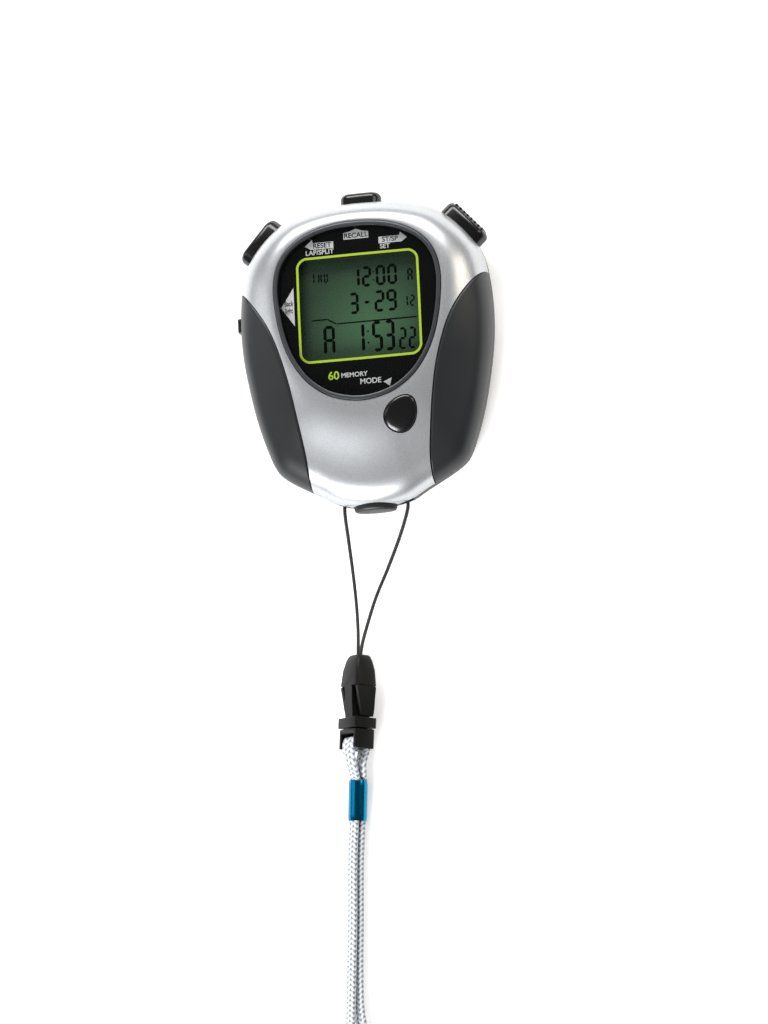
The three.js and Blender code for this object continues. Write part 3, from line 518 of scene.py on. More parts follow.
def clear_acrylic():
    """Polished clear acrylic: nearly nothing but its reflection."""
    made, tree, shader, place = new_material("clear_acrylic")
    smear = add_node(tree, "ShaderNodeTexNoise", inputs={
        "Vector": place, "Scale": per_metre(9), "Detail": 2.0,
    })
    gloss = add_node(tree, "ShaderNodeMapRange", inputs={
        "Value": smear.outputs["Fac"], "To Min": 0.02, "To Max": 0.07,
    })
    set_inputs(tree, shader, {
        "Base Color": linear("#141818"), "Roughness": gloss.outputs["Result"], "IOR": 1.49,
        "Alpha": 0.08,
    })
    return made


def mask_ink():
    """Black screen ink behind the lens: it reads as polished black glass."""
    return moulded("black_screen_ink", "#020202", "#060606", 0.12, 1.0, 0.002,
                   {"Specular IOR Level": 0.25})


def lime_ink():
    """Lime screen ink round the display."""
    return moulded("lime_screen_ink", "#93B01C", colours().display_frame, 0.4, 0.4, 0.004)


def label_ink():
    """Silver-white screen ink of the tags and words."""
    return moulded("white_screen_ink", "#A8AAAB", "#BCBEBE", 0.45, 0.4, 0.004)


# the display's painted lighter middle, with painted shade round it, in millimetres: where it is, and
# how far it reaches
PAINTED_LIT_MIDDLE_AT = (2.68, 5.83)
PAINTED_LIT_MIDDLE_REACH = (17.86, 16.67)


def display_glass():
    """Liquid crystal glass over a grey-green reflector, with painted shade that darkens it towards its
    edges.
    """
    made, tree, shader, place = new_material("liquid_crystal_glass")
    grain = add_node(tree, "ShaderNodeTexNoise", inputs={
        "Vector": place, "Scale": per_metre(0.5), "Detail": 2.0,
    })
    centred = add_node(tree, "ShaderNodeMapping", inputs={
        "Vector": place,
        "Location": (-PAINTED_LIT_MIDDLE_AT[0] / PAINTED_LIT_MIDDLE_REACH[0], -PAINTED_LIT_MIDDLE_AT[1] / PAINTED_LIT_MIDDLE_REACH[1], 0.0),
        "Scale": (per_metre(PAINTED_LIT_MIDDLE_REACH[0]), per_metre(PAINTED_LIT_MIDDLE_REACH[1]), 0.0),
    })
    centre = add_node(tree, "ShaderNodeTexGradient", {"gradient_type": "SPHERICAL"}, {
        "Vector": centred.outputs["Vector"],
    })
    # painted shade: the colour darkens from the lit middle towards the display's edges, most at the
    # left and the top, where the recess shades it
    painted_shade = add_node(tree, "ShaderNodeMix", {"data_type": "RGBA"}, {
        MIX_FACTOR: centre.outputs["Fac"], MIX_FIRST: linear("#233626"),
        MIX_SECOND: linear("#3D5F43"),
    })
    colour = add_node(tree, "ShaderNodeMix", {"data_type": "RGBA", "blend_type": "MULTIPLY"}, {
        MIX_FACTOR: 0.05, MIX_FIRST: painted_shade.outputs[MIX_COLOUR],
        MIX_SECOND: grain.outputs["Color"],
    })
    gloss = add_node(tree, "ShaderNodeMapRange", inputs={
        "Value": grain.outputs["Fac"], "To Min": 0.22, "To Max": 0.34,
    })
    set_inputs(tree, shader, {
        "Base Color": colour.outputs[MIX_COLOUR], "Roughness": gloss.outputs["Result"],
        "IOR": 1.52,
    })
    return made


def segment_ink():
    """Switched liquid crystal: almost black, with the green of the cell in it."""
    return moulded("switched_liquid_crystal", "#010201", "#030603", 0.7, 0.5, 0.001,
                   {"Specular IOR Level": 0.0})


RIB_SLANT = 0.8  # how far a rib climbs along the cord for each step across it


def braided(name, dark, light, rib_mm, column_mm, roughness, bump_mm, extra=None):
    """Woven yarn on the piece's own UV map: u goes round the cord and v along it, in metres.

    Ribs slant one way in one column of yarn and the other way in the next, which gives the
    chevrons of a braid, and a groove runs between the columns. The same relief darkens the
    colour in the grooves and between the ribs, which is painted shade.
    """
    made, tree, shader, place = new_material(name)
    uv = add_node(tree, "ShaderNodeUVMap", {"uv_map": "cord"})
    split = add_node(tree, "ShaderNodeSeparateXYZ", inputs={"Vector": uv.outputs["UV"]})
    column_size, rib_size = column_mm * MM, rib_mm * MM
    zigzag = add_node(tree, "ShaderNodeMath", {"operation": "PINGPONG"}, {
        0: split.outputs["X"], 1: column_size,
    })
    slanted = add_node(tree, "ShaderNodeMath", {"operation": "MULTIPLY_ADD"}, {
        0: zigzag.outputs["Value"], 1: RIB_SLANT, 2: split.outputs["Y"],
    })
    turns = add_node(tree, "ShaderNodeMath", {"operation": "MULTIPLY"}, {
        0: slanted.outputs["Value"], 1: 2 * math.pi / rib_size,
    })
    rib = add_node(tree, "ShaderNodeMath", {"operation": "SINE"}, {0: turns.outputs["Value"]})
    across = add_node(tree, "ShaderNodeMath", {"operation": "PINGPONG"}, {
        0: split.outputs["X"], 1: column_size / 2,
    })
    groove = add_node(tree, "ShaderNodeMapRange", inputs={
        "Value": across.outputs["Value"], "From Max": column_size / 2, "To Min": -0.9,
        "To Max": 0.7,
    })
    fuzz = add_node(tree, "ShaderNodeTexNoise", inputs={
        "Vector": place, "Scale": per_metre(0.12), "Detail": 2.0,
    })
    woven = add_node(tree, "ShaderNodeMath", {"operation": "ADD"}, {
        0: rib.outputs["Value"], 1: groove.outputs["Result"],
    })
    level = add_node(tree, "ShaderNodeMath", {"operation": "ADD"}, {
        0: woven.outputs["Value"], 1: fuzz.outputs["Fac"],
    })
    # painted shade: the colour darkens in the grooves and between the ribs, following the relief; the
    # chevrons themselves are the braid's own weave
    painted_shade = add_node(tree, "ShaderNodeMapRange", inputs={
        "Value": level.outputs["Value"], "From Min": -1.0, "From Max": 1.1,
    })
    colour = add_node(tree, "ShaderNodeMix", {"data_type": "RGBA"}, {
        MIX_FACTOR: painted_shade.outputs["Result"], MIX_FIRST: linear(dark), MIX_SECOND: linear(light),
    })
    relief = add_node(tree, "ShaderNodeBump", inputs={
        "Height": level.outputs["Value"], "Strength": 0.5, "Distance": bump_mm * MM,
    })
    set_inputs(tree, shader, {
        "Base Color": colour.outputs[MIX_COLOUR], "Roughness": roughness,
        "Normal": relief.outputs["Normal"], **(extra or {}),
    })
    return made


def polyester_braid():
    """Silver-white polyester braid, a flat tube: chevrons of shiny yarn, with painted shade in the
    gaps.
    """
    return braided("silver_polyester_braid", "#5A5F66", colours().neck_cord, 1.3, 1.15, 0.5, 0.12,
                   {"Sheen Weight": 0.3})


def black_cord():
    """Fine braided nylon cord: black, with a faint spiral of yarn and painted shade between its turns.
    """
    return braided("black_nylon_cord", "#060606", "#1C1C1C", 0.7, 0.7, 0.55, 0.05)


DRAWN_OUT = 0.06  # the breadth of one of the strip's rolling lines as a part of its length


def anodised_blue():
    """Blue anodised aluminium strip, rolled into a sleeve: deep colour, mirror-like bands."""
    made, tree, shader, place = new_material("blue_anodised_aluminium")
    drawn = add_node(tree, "ShaderNodeMapping", inputs={
        "Vector": place, "Scale": (1.0, DRAWN_OUT, 1.0),
    })
    lines = add_node(tree, "ShaderNodeTexNoise", inputs={
        "Vector": drawn.outputs["Vector"], "Scale": per_metre(0.25), "Detail": 2.0,
    })
    colour = add_node(tree, "ShaderNodeMix", {"data_type": "RGBA"}, {
        MIX_FACTOR: lines.outputs["Fac"], MIX_FIRST: linear("#035C86"),
        MIX_SECOND: linear(colours().ferrule),
    })
    gloss = add_node(tree, "ShaderNodeMapRange", inputs={
        "Value": lines.outputs["Fac"], "To Min": 0.16, "To Max": 0.28,
    })
    set_inputs(tree, shader, {
        "Base Color": colour.outputs[MIX_COLOUR], "Roughness": gloss.outputs["Result"],
        "Metallic": 1.0,
    })
    return made


def plated_steel():
    """Nickel-plated steel of screws, springs and the cell: bright with fine turning lines."""
    return moulded("nickel_plated_steel", "#9B9C9C", "#BDBEBE", 0.28, 0.15, 0.005, {"Metallic": 1.0})


def rolled_brass():
    """Rolled brass strip of the contacts and the sounder."""
    return moulded("rolled_brass", "#B08D3E", "#C9A655", 0.3, 0.3, 0.005, {"Metallic": 1.0})


def solder_mask():
    """Green solder mask over glass-epoxy board, with copper lines showing through it."""
    made, tree, shader, place = new_material("green_solder_mask")
    tracks = add_node(tree, "ShaderNodeTexBrick", inputs={
        "Vector": place, "Scale": per_metre(6), "Color1": linear("#1B5A34"),
        "Color2": linear("#206A3C"), "Mortar": linear("#2F8A55"), "Mortar Size": 0.03,
    })
    relief = add_node(tree, "ShaderNodeBump", inputs={
        "Height": tracks.outputs["Fac"], "Strength": 0.4, "Distance": 0.03 * MM,
    })
    set_inputs(tree, shader, {
        "Base Color": tracks.outputs["Color"], "Roughness": 0.35,
        "Normal": relief.outputs["Normal"],
    })
    return made


def silicone():
    """Grey moulded silicone of the button domes."""
    return moulded("grey_silicone", "#858A8E", "#999DA1", 0.55, 0.4, 0.01)


def seal_rubber():
    """Black nitrile of the hatch seal."""
    return moulded("nitrile_rubber", "#141415", "#1E1E20", 0.6, 0.3, 0.01)


def light_film():
    """White film of the backlight."""
    return moulded("white_light_film", "#DADCD3", "#ECEEE6", 0.5, 0.6, 0.004)


HALF_WAVE = math.pi / 20  # the length of a wave texture's half wave at a scale of 1


def layered_elastomer():
    """Conductive elastomer strip: pale pink with dark layers across it."""
    made, tree, shader, place = new_material("layered_elastomer")
    layers = add_node(tree, "ShaderNodeTexWave", {"bands_direction": "X"}, {
        "Vector": place, "Scale": per_metre(1.2) * HALF_WAVE,
    })
    colour = add_node(tree, "ShaderNodeMix", {"data_type": "RGBA"}, {
        MIX_FACTOR: layers.outputs["Fac"], MIX_FIRST: linear("#3A3439"),
        MIX_SECOND: linear("#D6C3CF"),
    })
    set_inputs(tree, shader, {"Base Color": colour.outputs[MIX_COLOUR], "Roughness": 0.6})
    return made


def floor_paper():
    """White background paper lit from behind: flat, matte and nearly featureless."""
    return moulded("white_background_paper", "#F6F6F5", "#FAFAF9", 0.8, 2.0, 0.01,
                   {"Emission Color": linear("#FFFFFF"), "Emission Strength": 0.35})


MATERIAL_MAKERS = {
    "silver": metallic_paint, "rear": textured_abs, "grip": rubber_grip, "bezel": bezel_paint,
    "lens": clear_acrylic, "mask": mask_ink, "lime": lime_ink, "label": label_ink,
    "lcd": display_glass, "segment": segment_ink, "gloss": gloss_abs, "acetal": acetal,
    "lug": satin_lug, "moulding": matte_moulding, "braid": polyester_braid,
    "string": black_cord, "blue": anodised_blue, "steel": plated_steel, "brass": rolled_brass,
    "board": solder_mask, "silicone": silicone, "seal": seal_rubber, "film": light_film,
    "zebra": layered_elastomer, "floor": floor_paper,
}
materials = {}


def finish_named(key):
    """A finish's material, made when it is first asked for."""
    if key not in materials:
        materials[key] = MATERIAL_MAKERS[key]()
    return materials[key]


# ---------- sizes a user may change ----------


class StopwatchSizes(bpy.types.PropertyGroup):
    """Sizes of the stopwatch's pieces, in millimetres unless the unit says otherwise."""

    seam: bpy.props.FloatProperty(
        name="Seam", description="Gap round the grips, buttons and lug, in mm",
        default=0.2, min=0.05, max=0.5)
    grip_thickness: bpy.props.FloatProperty(
        name="Grip Thickness", description="Thickness of the rubber grips, in mm",
        default=1.2, min=0.5, max=2.0)
    button_proud: bpy.props.FloatProperty(
        name="Button Height", description="How far the edge buttons stand out, in mm",
        default=3.0, min=1.0, max=3.5)
    frame_width: bpy.props.FloatProperty(
        name="Display Frame", description="Width of the coloured line round the display, in mm",
        default=0.62, min=0.3, max=2.0)
    string_radius: bpy.props.FloatProperty(
        name="String Radius", description="Radius of the strap string",
        default=0.00045, unit="LENGTH")
    cord_width: bpy.props.FloatProperty(
        name="Neck Cord Width", description="Width of the flat braid",
        default=0.004, unit="LENGTH")
    cord_thickness: bpy.props.FloatProperty(
        name="Neck Cord Thickness", description="Thickness of the flat braid",
        default=0.0017, unit="LENGTH")


class StopwatchColours(bpy.types.PropertyGroup):
    """The lighter tones of the coloured pieces, as sRGB hex values."""

    silver: bpy.props.StringProperty(
        name="Case", description="Silver lacquer of the front", default="#C6C8CB")
    grip: bpy.props.StringProperty(
        name="Grips", description="Rubber of the side grips", default="#1D2023")
    display_frame: bpy.props.StringProperty(
        name="Display Frame", description="Ink of the line round the display",
        default="#A6C42C")
    neck_cord: bpy.props.StringProperty(
        name="Neck Cord", description="Yarn of the flat braid", default="#C6CBD1")
    ferrule: bpy.props.StringProperty(
        name="Ferrule", description="Anodised metal of the sleeve", default="#0C7FA6")


class StudioLook(bpy.types.PropertyGroup):
    """The stage, its lights and its camera."""

    key_power: bpy.props.FloatProperty(
        name="Key Light", description="Power of the long soft light beyond the head, in watts",
        default=9.5, min=0.0)
    foot_power: bpy.props.FloatProperty(
        name="Foot Light", description="Power of the soft light at the lower left, in watts",
        default=8.0, min=0.0)
    left_power: bpy.props.FloatProperty(
        name="Left Light", description="Power of the soft light on the left, in watts",
        default=0.8, min=0.0)
    right_power: bpy.props.FloatProperty(
        name="Right Light", description="Power of the soft warm light on the right, in watts",
        default=1.6, min=0.0)
    surround: bpy.props.FloatProperty(
        name="Surround", description="Brightness of the dim room", default=0.16, min=0.0)
    camera_distance: bpy.props.FloatProperty(
        name="Camera Distance", description="From the camera to the display",
        default=1.2, unit="LENGTH")


def sizes():
    return bpy.context.scene.stopwatch_sizes


def colours():
    return bpy.context.scene.stopwatch_colours


# ---------- stage and camera ----------

VIEW_FROM = Vector((0.195, -0.195, 0.961)).normalized()
CAMERA_ROLL = math.radians(2.6)
DISPLAY_CENTRE = Vector((0, 0.010, 0.020))
FRAMING = (0.00669, -0.05308)  # from the display's middle to the middle of the view
VIEW_HEIGHT = 0.26256
SENSOR = 36.0
FLOOR_HALF = 3.0
FLOOR_Z = -0.0002  # a hair below the pieces that lie on it


class WATCH_OT_camera(bpy.types.Operator):
    """The camera over the watch, a little to the lower right of straight above"""

    bl_idname = "watch.camera"
    bl_label = "Camera"

    def execute(self, context):
        distance = context.scene.studio_look.camera_distance
        level = Vector((0, 1, 0)).cross(VIEW_FROM).normalized()
        upward = VIEW_FROM.cross(level)
        right = math.cos(CAMERA_ROLL) * level - math.sin(CAMERA_ROLL) * upward
        up = VIEW_FROM.cross(right)
        target = DISPLAY_CENTRE + FRAMING[0] * right + FRAMING[1] * up
        data = bpy.data.cameras.new("camera")
        data.type = "PERSP"
        data.sensor_width = SENSOR
        data.lens = SENSOR * distance / VIEW_HEIGHT
        camera = bpy.data.objects.new("camera", data)
        context.scene.collection.objects.link(camera)
        turn = Matrix((right, up, VIEW_FROM)).transposed().to_4x4()
        camera.matrix_world = Matrix.Translation(target + VIEW_FROM * distance) @ turn
        context.scene.camera = camera
        return {"FINISHED"}


def area_light(name, place, aim, size, power, colour="#FFFFFF"):
    data = bpy.data.lights.new(name, "AREA")
    data.shape = "RECTANGLE"
    data.size, data.size_y = size
    data.energy = power
    data.color = linear(colour)[:3]
    lamp = bpy.data.objects.new(name, data)
    bpy.context.scene.collection.objects.link(lamp)
    lamp.location = place
    lamp.rotation_euler = (Vector(aim) - Vector(place)).to_track_quat("-Z", "Y").to_euler()


class WATCH_OT_studio(bpy.types.Operator):
    """The white floor, the soft lights and the dim room round them"""

    bl_idname = "watch.studio"
    bl_label = "Studio"

    def execute(self, context):
        look = context.scene.studio_look
        bm = bmesh.new()
        bmesh.ops.create_grid(bm, x_segments=1, y_segments=1, size=FLOOR_HALF)
        floor = as_object(shifted(bm, 0, 0, FLOOR_Z), "floor")
        floor.data.materials.append(finish_named("floor"))
        area_light("key_light", (-0.05, 0.65, 0.5), (0, 0, 0), (0.9, 0.3), look.key_power)
        area_light("foot_light", (-0.26, -0.58, 0.4), (0, -0.03, 0), (0.4, 0.3),
                   look.foot_power)
        area_light("left_light", (-0.65, 0.1, 0.45), (0, 0, 0), (0.3, 0.6), look.left_power)
        area_light("right_light", (0.65, 0.25, 0.5), (0, 0, 0), (0.3, 0.4), look.right_power,
                   "#FFF6E6")
        world = bpy.data.worlds.new("dim_room")
        world.use_nodes = True
        background = world.node_tree.nodes["Background"]
        background.inputs["Color"].default_value = (1, 1, 1, 1)
        background.inputs["Strength"].default_value = look.surround
        context.scene.world = world
        context.scene.view_settings.view_transform = "Standard"
        return {"FINISHED"}


# ---------- cords ----------

CLIP_ORIGIN = Vector((-0.0067, -0.0784, 0.0054))
CLIP_HEADING = math.radians(-94.5)
CLIP_ROLL = math.radians(45)
CLIP_ALONG = Vector((math.cos(CLIP_HEADING), math.sin(CLIP_HEADING), 0))
CLIP_ACROSS = Matrix.Rotation(CLIP_ROLL, 3, CLIP_ALONG) @ Vector((0, 0, 1)).cross(CLIP_ALONG)
CLIP_THROUGH = CLIP_ALONG.cross(CLIP_ACROSS)

STRING_ROUTE = [
    (-0.0005, -0.03485, 0.0078), (-0.003, -0.0349, 0.0078), (-0.0056, -0.0358, 0.0078),
    (-0.0078, -0.0376, 0.0079), (-0.0083, -0.0399, 0.0079), (-0.0084, -0.0425, 0.0074),
    (-0.0083, -0.048, 0.0052), (-0.008, -0.056, 0.0029), (-0.0076, -0.064, 0.0022),
    (-0.0073, -0.071, 0.0029), (-0.00715, -0.076, 0.0044),
]
# inside the clip, as (across, along) in the clip's own frame
STRING_BIGHT = [
    (-0.00065, 0.0008), (-0.00125, 0.003), (-0.00175, 0.0046), (-0.0015, 0.0062), (0, 0.0072),
    (0.0015, 0.0062), (0.00175, 0.0046), (0.00125, 0.003), (0.00065, 0.0008),
]
STRING_RETURN = [
    (-0.006, -0.076, 0.0053), (-0.0049, -0.071, 0.0036), (-0.0023, -0.063, 0.0023),
    (0.0012, -0.056, 0.0029), (0.0051, -0.0485, 0.0051), (0.0078, -0.0426, 0.0074),
    (0.0083, -0.0399, 0.0079), (0.0078, -0.0376, 0.0079), (0.0056, -0.0358, 0.0078),
    (0.003, -0.0349, 0.0078), (0.0005, -0.03485, 0.0078),
]

FERRULE_FROM = Vector((-0.00895, -0.1103, 0.0029))
FERRULE_TO = Vector((-0.0096, -0.1207, 0.0029))
STRAND_APART = 0.001  # from the middle of the pair to each strand's middle
BAR_AT = 0.0217  # along the clip, where the bight crosses its bar
FERRULE_MOUTH = 0.0315  # along the clip, where the two strands come together
BRAID_SPREAD = 0.42  # how much wider the braid is over the bar
BRAID_SIDES = 20
BRAID_SQUARENESS = 2.4
STRING_SIDES = 12
NECK_CORD_ENDS = (0.38, 0.62)  # where in the ferrule its upper and its lower end stop
# beside and over the bar, as (through, along) in the clip's own frame
BIGHT_LEG = [(0.0015, 0.028), (0.0023, 0.0245)]
BIGHT_OVER_BAR = [(0.0021, BAR_AT + 0.0004), (0.0012, BAR_AT - 0.0002)]
LYING_FROM = -0.176  # the y past which the braid turns to lie flat on the floor
LYING_OVER = 0.012  # and how far it takes to
STRAND_LEFT = [
    (-0.0099, -0.122, 0.0029), (-0.0107, -0.132, 0.0029), (-0.0113, -0.145, 0.0029),
    (-0.0121, -0.158, 0.0029), (-0.013, -0.172, 0.0029), (-0.0135, -0.184, 0.0029),
    (-0.0136, -0.1955, 0.0029),
]
STRAND_RIGHT = [
    (-0.0099, -0.122, 0.0029), (-0.0107, -0.132, 0.0029), (-0.0113, -0.145, 0.0029),
    (-0.012, -0.158, 0.0029), (-0.0121, -0.169, 0.0029), (-0.0105, -0.177, 0.0029),
    (-0.0075, -0.1826, 0.0029), (-0.0039, -0.1862, 0.0029), (-0.0006, -0.1882, 0.0029),
]
COIL_CENTRE = (0.0096, -0.215)
# the coil's turns: degrees turned so far, radius, height
COIL_TURNS = [
    (0, 0.0232, 0.0014), (40, 0.0250, 0.0010), (320, 0.0252, 0.0010), (400, 0.0210, 0.0010),
    (680, 0.0210, 0.0010), (760, 0.0210, 0.0029), (1040, 0.0210, 0.0029), (1120, 0.0252, 0.0029),
    (1400, 0.0252, 0.0029), (1480, 0.0232, 0.0048), (1640, 0.0232, 0.0046), (1690, 0.0250, 0.0040),
]
COIL_STEP = 24  # degrees between the points of a turn
COIL_START = 180  # where the cord comes to the coil, in degrees round it
ROUTE_STEPS = 16  # points of a route's curve between two of its given ones
NECK_CORD_SPACING = 0.0011  # between the points of its path
STRING_SPACING = 0.0005


def on_clip(across, through, along):
    """A place given in the clip's own directions, in metres."""
    return CLIP_ORIGIN + CLIP_ACROSS * across + CLIP_THROUGH * through + CLIP_ALONG * along


def curve_through(points, spacing):
    """Evenly spaced points along a smooth curve through the given ones."""
    dense = catmull_rom([Vector(p) for p in points], ROUTE_STEPS)
    lengths = [0.0]
    for a, b in zip(dense, dense[1:]):
        lengths.append(lengths[-1] + (b - a).length)
    count = max(2, round(lengths[-1] / spacing))
    wanted = np.linspace(0, lengths[-1], count + 1)
    axes = [np.interp(wanted, lengths, [p[k] for p in dense]) for k in range(3)]
    return [Vector(p) for p in zip(*axes)]


def sweep(path, section, upper_at, spread_at):
    """A closed tube with a UV map named cord: u is round it and v along it, both in metres.

    section is the tube's outline as (across, up) points, upper_at(point, tangent, t) gives
    the upward direction at each path point and spread_at(point) how many times wider the
    tube is there.
    """
    rings = []
    along = [0.0]
    for i, point in enumerate(path):
        ahead = path[min(i + 1, len(path) - 1)] - path[max(i - 1, 0)]
        tangent = ahead.normalized()
        across = tangent.cross(upper_at(point, tangent, i / (len(path) - 1))).normalized()
        upward = across.cross(tangent)
        spread = spread_at(point)
        rings.append([point + across * a * spread + upward * b / spread for a, b in section])
        if i:
            along.append(along[-1] + (point - path[i - 1]).length)
    bm = bmesh.new()
    made = loft(bm, rings)
    place = {vert: (side, ring) for ring, verts in enumerate(made)
             for side, vert in enumerate(verts)}
    bmesh.ops.holes_fill(bm, edges=[e for e in bm.edges if e.is_boundary], sides=0)
    bmesh.ops.recalc_face_normals(bm, faces=bm.faces)
    outline = [Vector(p) for p in section]
    girth = [0.0]
    for a, b in zip(outline, outline[1:] + outline[:1]):
        girth.append(girth[-1] + (b - a).length)
    uv = bm.loops.layers.uv.new("cord")
    last = len(section) - 1
    for face in bm.faces:
        sides = {place[v][0] for v in face.verts}
        wraps = len(sides) == 2 and {0, last} == sides
        for loop in face.loops:
            side, ring = place[loop.vert]
            loop[uv].uv = (girth[-1] if wraps and side == 0 else girth[side], along[ring])
    return bm


def oval(half_across, half_up, sides, power=2.0):
    """An ellipse, or for a power above 2 a squarer one."""
    points = []
    for i in range(sides):
        angle = 2 * math.pi * i / sides
        c, s = math.cos(angle), math.sin(angle)
        points.append((
            half_across * math.copysign(abs(c) ** (2 / power), c),
            half_up * math.copysign(abs(s) ** (2 / power), s),
        ))
    return points


def even_width(point):
    return 1.0


def spread_in_clip(point):
    """The flat braid spreads to fill the clip's frame and narrows into the ferrule."""
    along = (point - CLIP_ORIGIN).dot(CLIP_ALONG)
    near = min(1.0, max(0.0, (FERRULE_MOUTH - along) / (FERRULE_MOUTH - BAR_AT)))
    return 1 + BRAID_SPREAD * eased(near)


def cord_mesh(name, points, section, upper_at, spread_at, spacing, material, body, replaced):
    path = curve_through(points, spacing)
    tube = sweep(path, section, upper_at, spread_at)
    made = piece(name, tube, finish_named(material), body, replaced, sharp_angle=80, scale=1)
    return made, path


class WATCH_OT_strap_string(bpy.types.Operator):
    """The thin black string from the strap lug to the clip's socket"""

    bl_idname = "watch.strap_string"
    bl_label = "Strap String"

    def execute(self, context):
        radius = sizes().string_radius
        bight = [on_clip(across, 0, along) for across, along in STRING_BIGHT]
        points = [*STRING_ROUTE, *bight, *STRING_RETURN]
        string, path = cord_mesh(
            "strap_string_cord", points, oval(radius, radius, STRING_SIDES),
            lambda point, tangent, t: CLIP_THROUGH, even_width, STRING_SPACING, "string", "case",
            ["strap_string"],
        )
        return {"FINISHED"}


def coil_points():
    """The coil's turns, wound from the outside in, up, and out again on top."""
    points = []
    total = COIL_TURNS[-1][0]
    turned_by = [row[0] for row in COIL_TURNS]
    for degrees in range(COIL_STEP, total, COIL_STEP):
        radius = np.interp(degrees, turned_by, [row[1] for row in COIL_TURNS])
        height = np.interp(degrees, turned_by, [row[2] for row in COIL_TURNS])
        angle = math.radians(COIL_START + degrees)
        points.append(Vector((
            COIL_CENTRE[0] + radius * math.cos(angle), COIL_CENTRE[1] + radius * math.sin(angle),
            height,
        )))
    return points


class WATCH_OT_neck_cord(bpy.types.Operator):
    """The flat white neck cord: one loop through the clip's bar, closed by the ferrule"""

    bl_idname = "watch.neck_cord"
    bl_label = "Neck Cord"

    def execute(self, context):
        size = sizes()
        upper_end, lower_end = (FERRULE_FROM.lerp(FERRULE_TO, t) for t in NECK_CORD_ENDS)

        def beside(point, side):
            return Vector(point) + CLIP_THROUGH * side * STRAND_APART

        def leg_over_bar(side):
            """One side of the bight, from the ferrule to the top of the bar."""
            bight = [*BIGHT_LEG, *BIGHT_OVER_BAR]
            return [beside(upper_end, side), beside(FERRULE_FROM, side),
                    *(on_clip(0, side * through, along) for through, along in bight)]

        points = [beside(lower_end, 1)]
        points += [beside(point, 1) for point in STRAND_LEFT]
        points += coil_points()
        points += [beside(point, -1) for point in reversed(STRAND_RIGHT)]
        points += leg_over_bar(-1) + list(reversed(leg_over_bar(1)))

        def upper(point, tangent, t):
            """The braid's thin direction: from the clip's as far as the ferrule, then upright."""
            lying = min(1.0, max(0.0, (LYING_FROM - point.y) / LYING_OVER))
            tilted = CLIP_ACROSS.cross(tangent)
            if tilted.z < 0 and (lying > 0 or t < 0.5):
                tilted.negate()
            return tilted.lerp(Vector((0, 0, 1)), eased(lying))

        section = oval(size.cord_width / 2, size.cord_thickness / 2, BRAID_SIDES, BRAID_SQUARENESS)
        braid, path = cord_mesh(
            "neck_cord", points, section, upper, spread_in_clip, NECK_CORD_SPACING, "braid",
            "lanyard",
            ["cord_bight", "cord_strand_left", "cord_strand_right", "cord_coil"],
        )
        return {"FINISHED"}


# ---------- case halves ----------

CASE_ANGLES = [math.pi / 2 + 2 * math.pi * i / CASE_SEGMENTS for i in range(CASE_SEGMENTS)]
FRONT_STEPS = 44
FORM_STEPS = 16
BACK_STEPS = 12
FRONT_LOWEST = PARTING_Z + 0.08  # the front and the back leave a fine line between them
BACK_HIGHEST = PARTING_Z - 0.08
WALL_STEPS = (1, 0.95, 0.85, 0.7, 0.45, 0.2, 0)
INNER_SWINGS = (0.5, 1.0, math.pi / 2)  # round the inside of the back's edge
LEDGE_Z = 17.2
SEAT_Z = 18.6
SEAT_WIDTH = 3.0
RIM_ROUNDING = (0.25, 0.1, 0.05)  # how deep the rim's rounding is, how wide, and its last drop
RECESS_CLEARANCE = 0.2  # under a grip
RECESS_BOTTOM = 5
OPENING_TURNS = 50  # degrees between the hatch's lugs and the notches that let them out
HATCH_Y = 3.0
CASE_SCREWS = [(12.5, 32), (-12.5, 32), (18.5, -24), (-18.5, -24)]
SCREW_WELL = (2.2, 2.1)  # radius and depth
SCREW_WAY = 1.25
SCREW_POST = 3.0
FLOOR_TOP = 1.5  # inside the back's floor, where its posts start
HATCH_RING = (14.6, 4.6)  # radius and height
# the hatch's opening, from the outside in: radius, lowest and highest point, sides
HATCH_STEPS = [(12.9, -1, 2.4, 128), (11.75, -1, 9, 96), (13.05, 3.1, 9, 96)]
HATCH_NOTCH = ((10.6, -2.4, -1), (12.95, 2.4, 4))
STRAP_HOLE_X = 8.3
STRAP_HOLE_HALF = 1.7
STRAP_HOLE_Z = (6.8, 9.2)
STRAP_HOLE_END = -36
LUG_HALF = (5.6, 3.2)
LUG_Z = 8.6
LUG_SIDES = 48
LUG_FRONT = -42.0
LUG_HEAD_BACK = -38.2
LUG_ROUNDING = 0.9
LUG_STEPS = 5
LUG_FLANGE = (0.8, -38.3, -37.4)  # how much wider than the head, and where it lies
LUG_NECK = ((-2.6, LUG_HEAD_BACK, LUG_Z - 2.5), (2.6, -35.6, LUG_Z + 2.5))
LUG_OPENING = (-50, -30)
EDGE_BUTTONS = {
    "start_stop": {"at": (26.25, 30.75), "angle": 41.6, "width": 14.0, "height": 6.6, "ribs": 8},
    "lap_reset": {"at": (-26.25, 30.75), "angle": 138.4, "width": 14.0, "height": 6.6, "ribs": 0},
    "recall": {"at": (-0.2, 39.15), "angle": 90, "width": 10.8, "height": 5.8, "ribs": 0},
}
HOLE_HALF = 8  # a button's hole goes this far in and out from the case's edge
LIGHT_BUTTON = {"edge": -33.2, "y": 9.3, "z": 10.9, "half_y": 2.0, "half_z": 1.4}
LIGHT_HOLE = (-8, 5)
MODE = {"x": 9.9, "y": -19.1, "turn": 55, "long": 4.9, "wide": 3.85, "taper": 0.16, "flange": 14.9}
EGG_SIDES = 64
EGG_FLANGE = 0.6  # how much wider and how thick the mode button's flange is
MODE_SUNK = 0.1  # the mode button's edge, below the case's face
MODE_DOME = 0.64
MODE_ROUNDNESS = 0.6
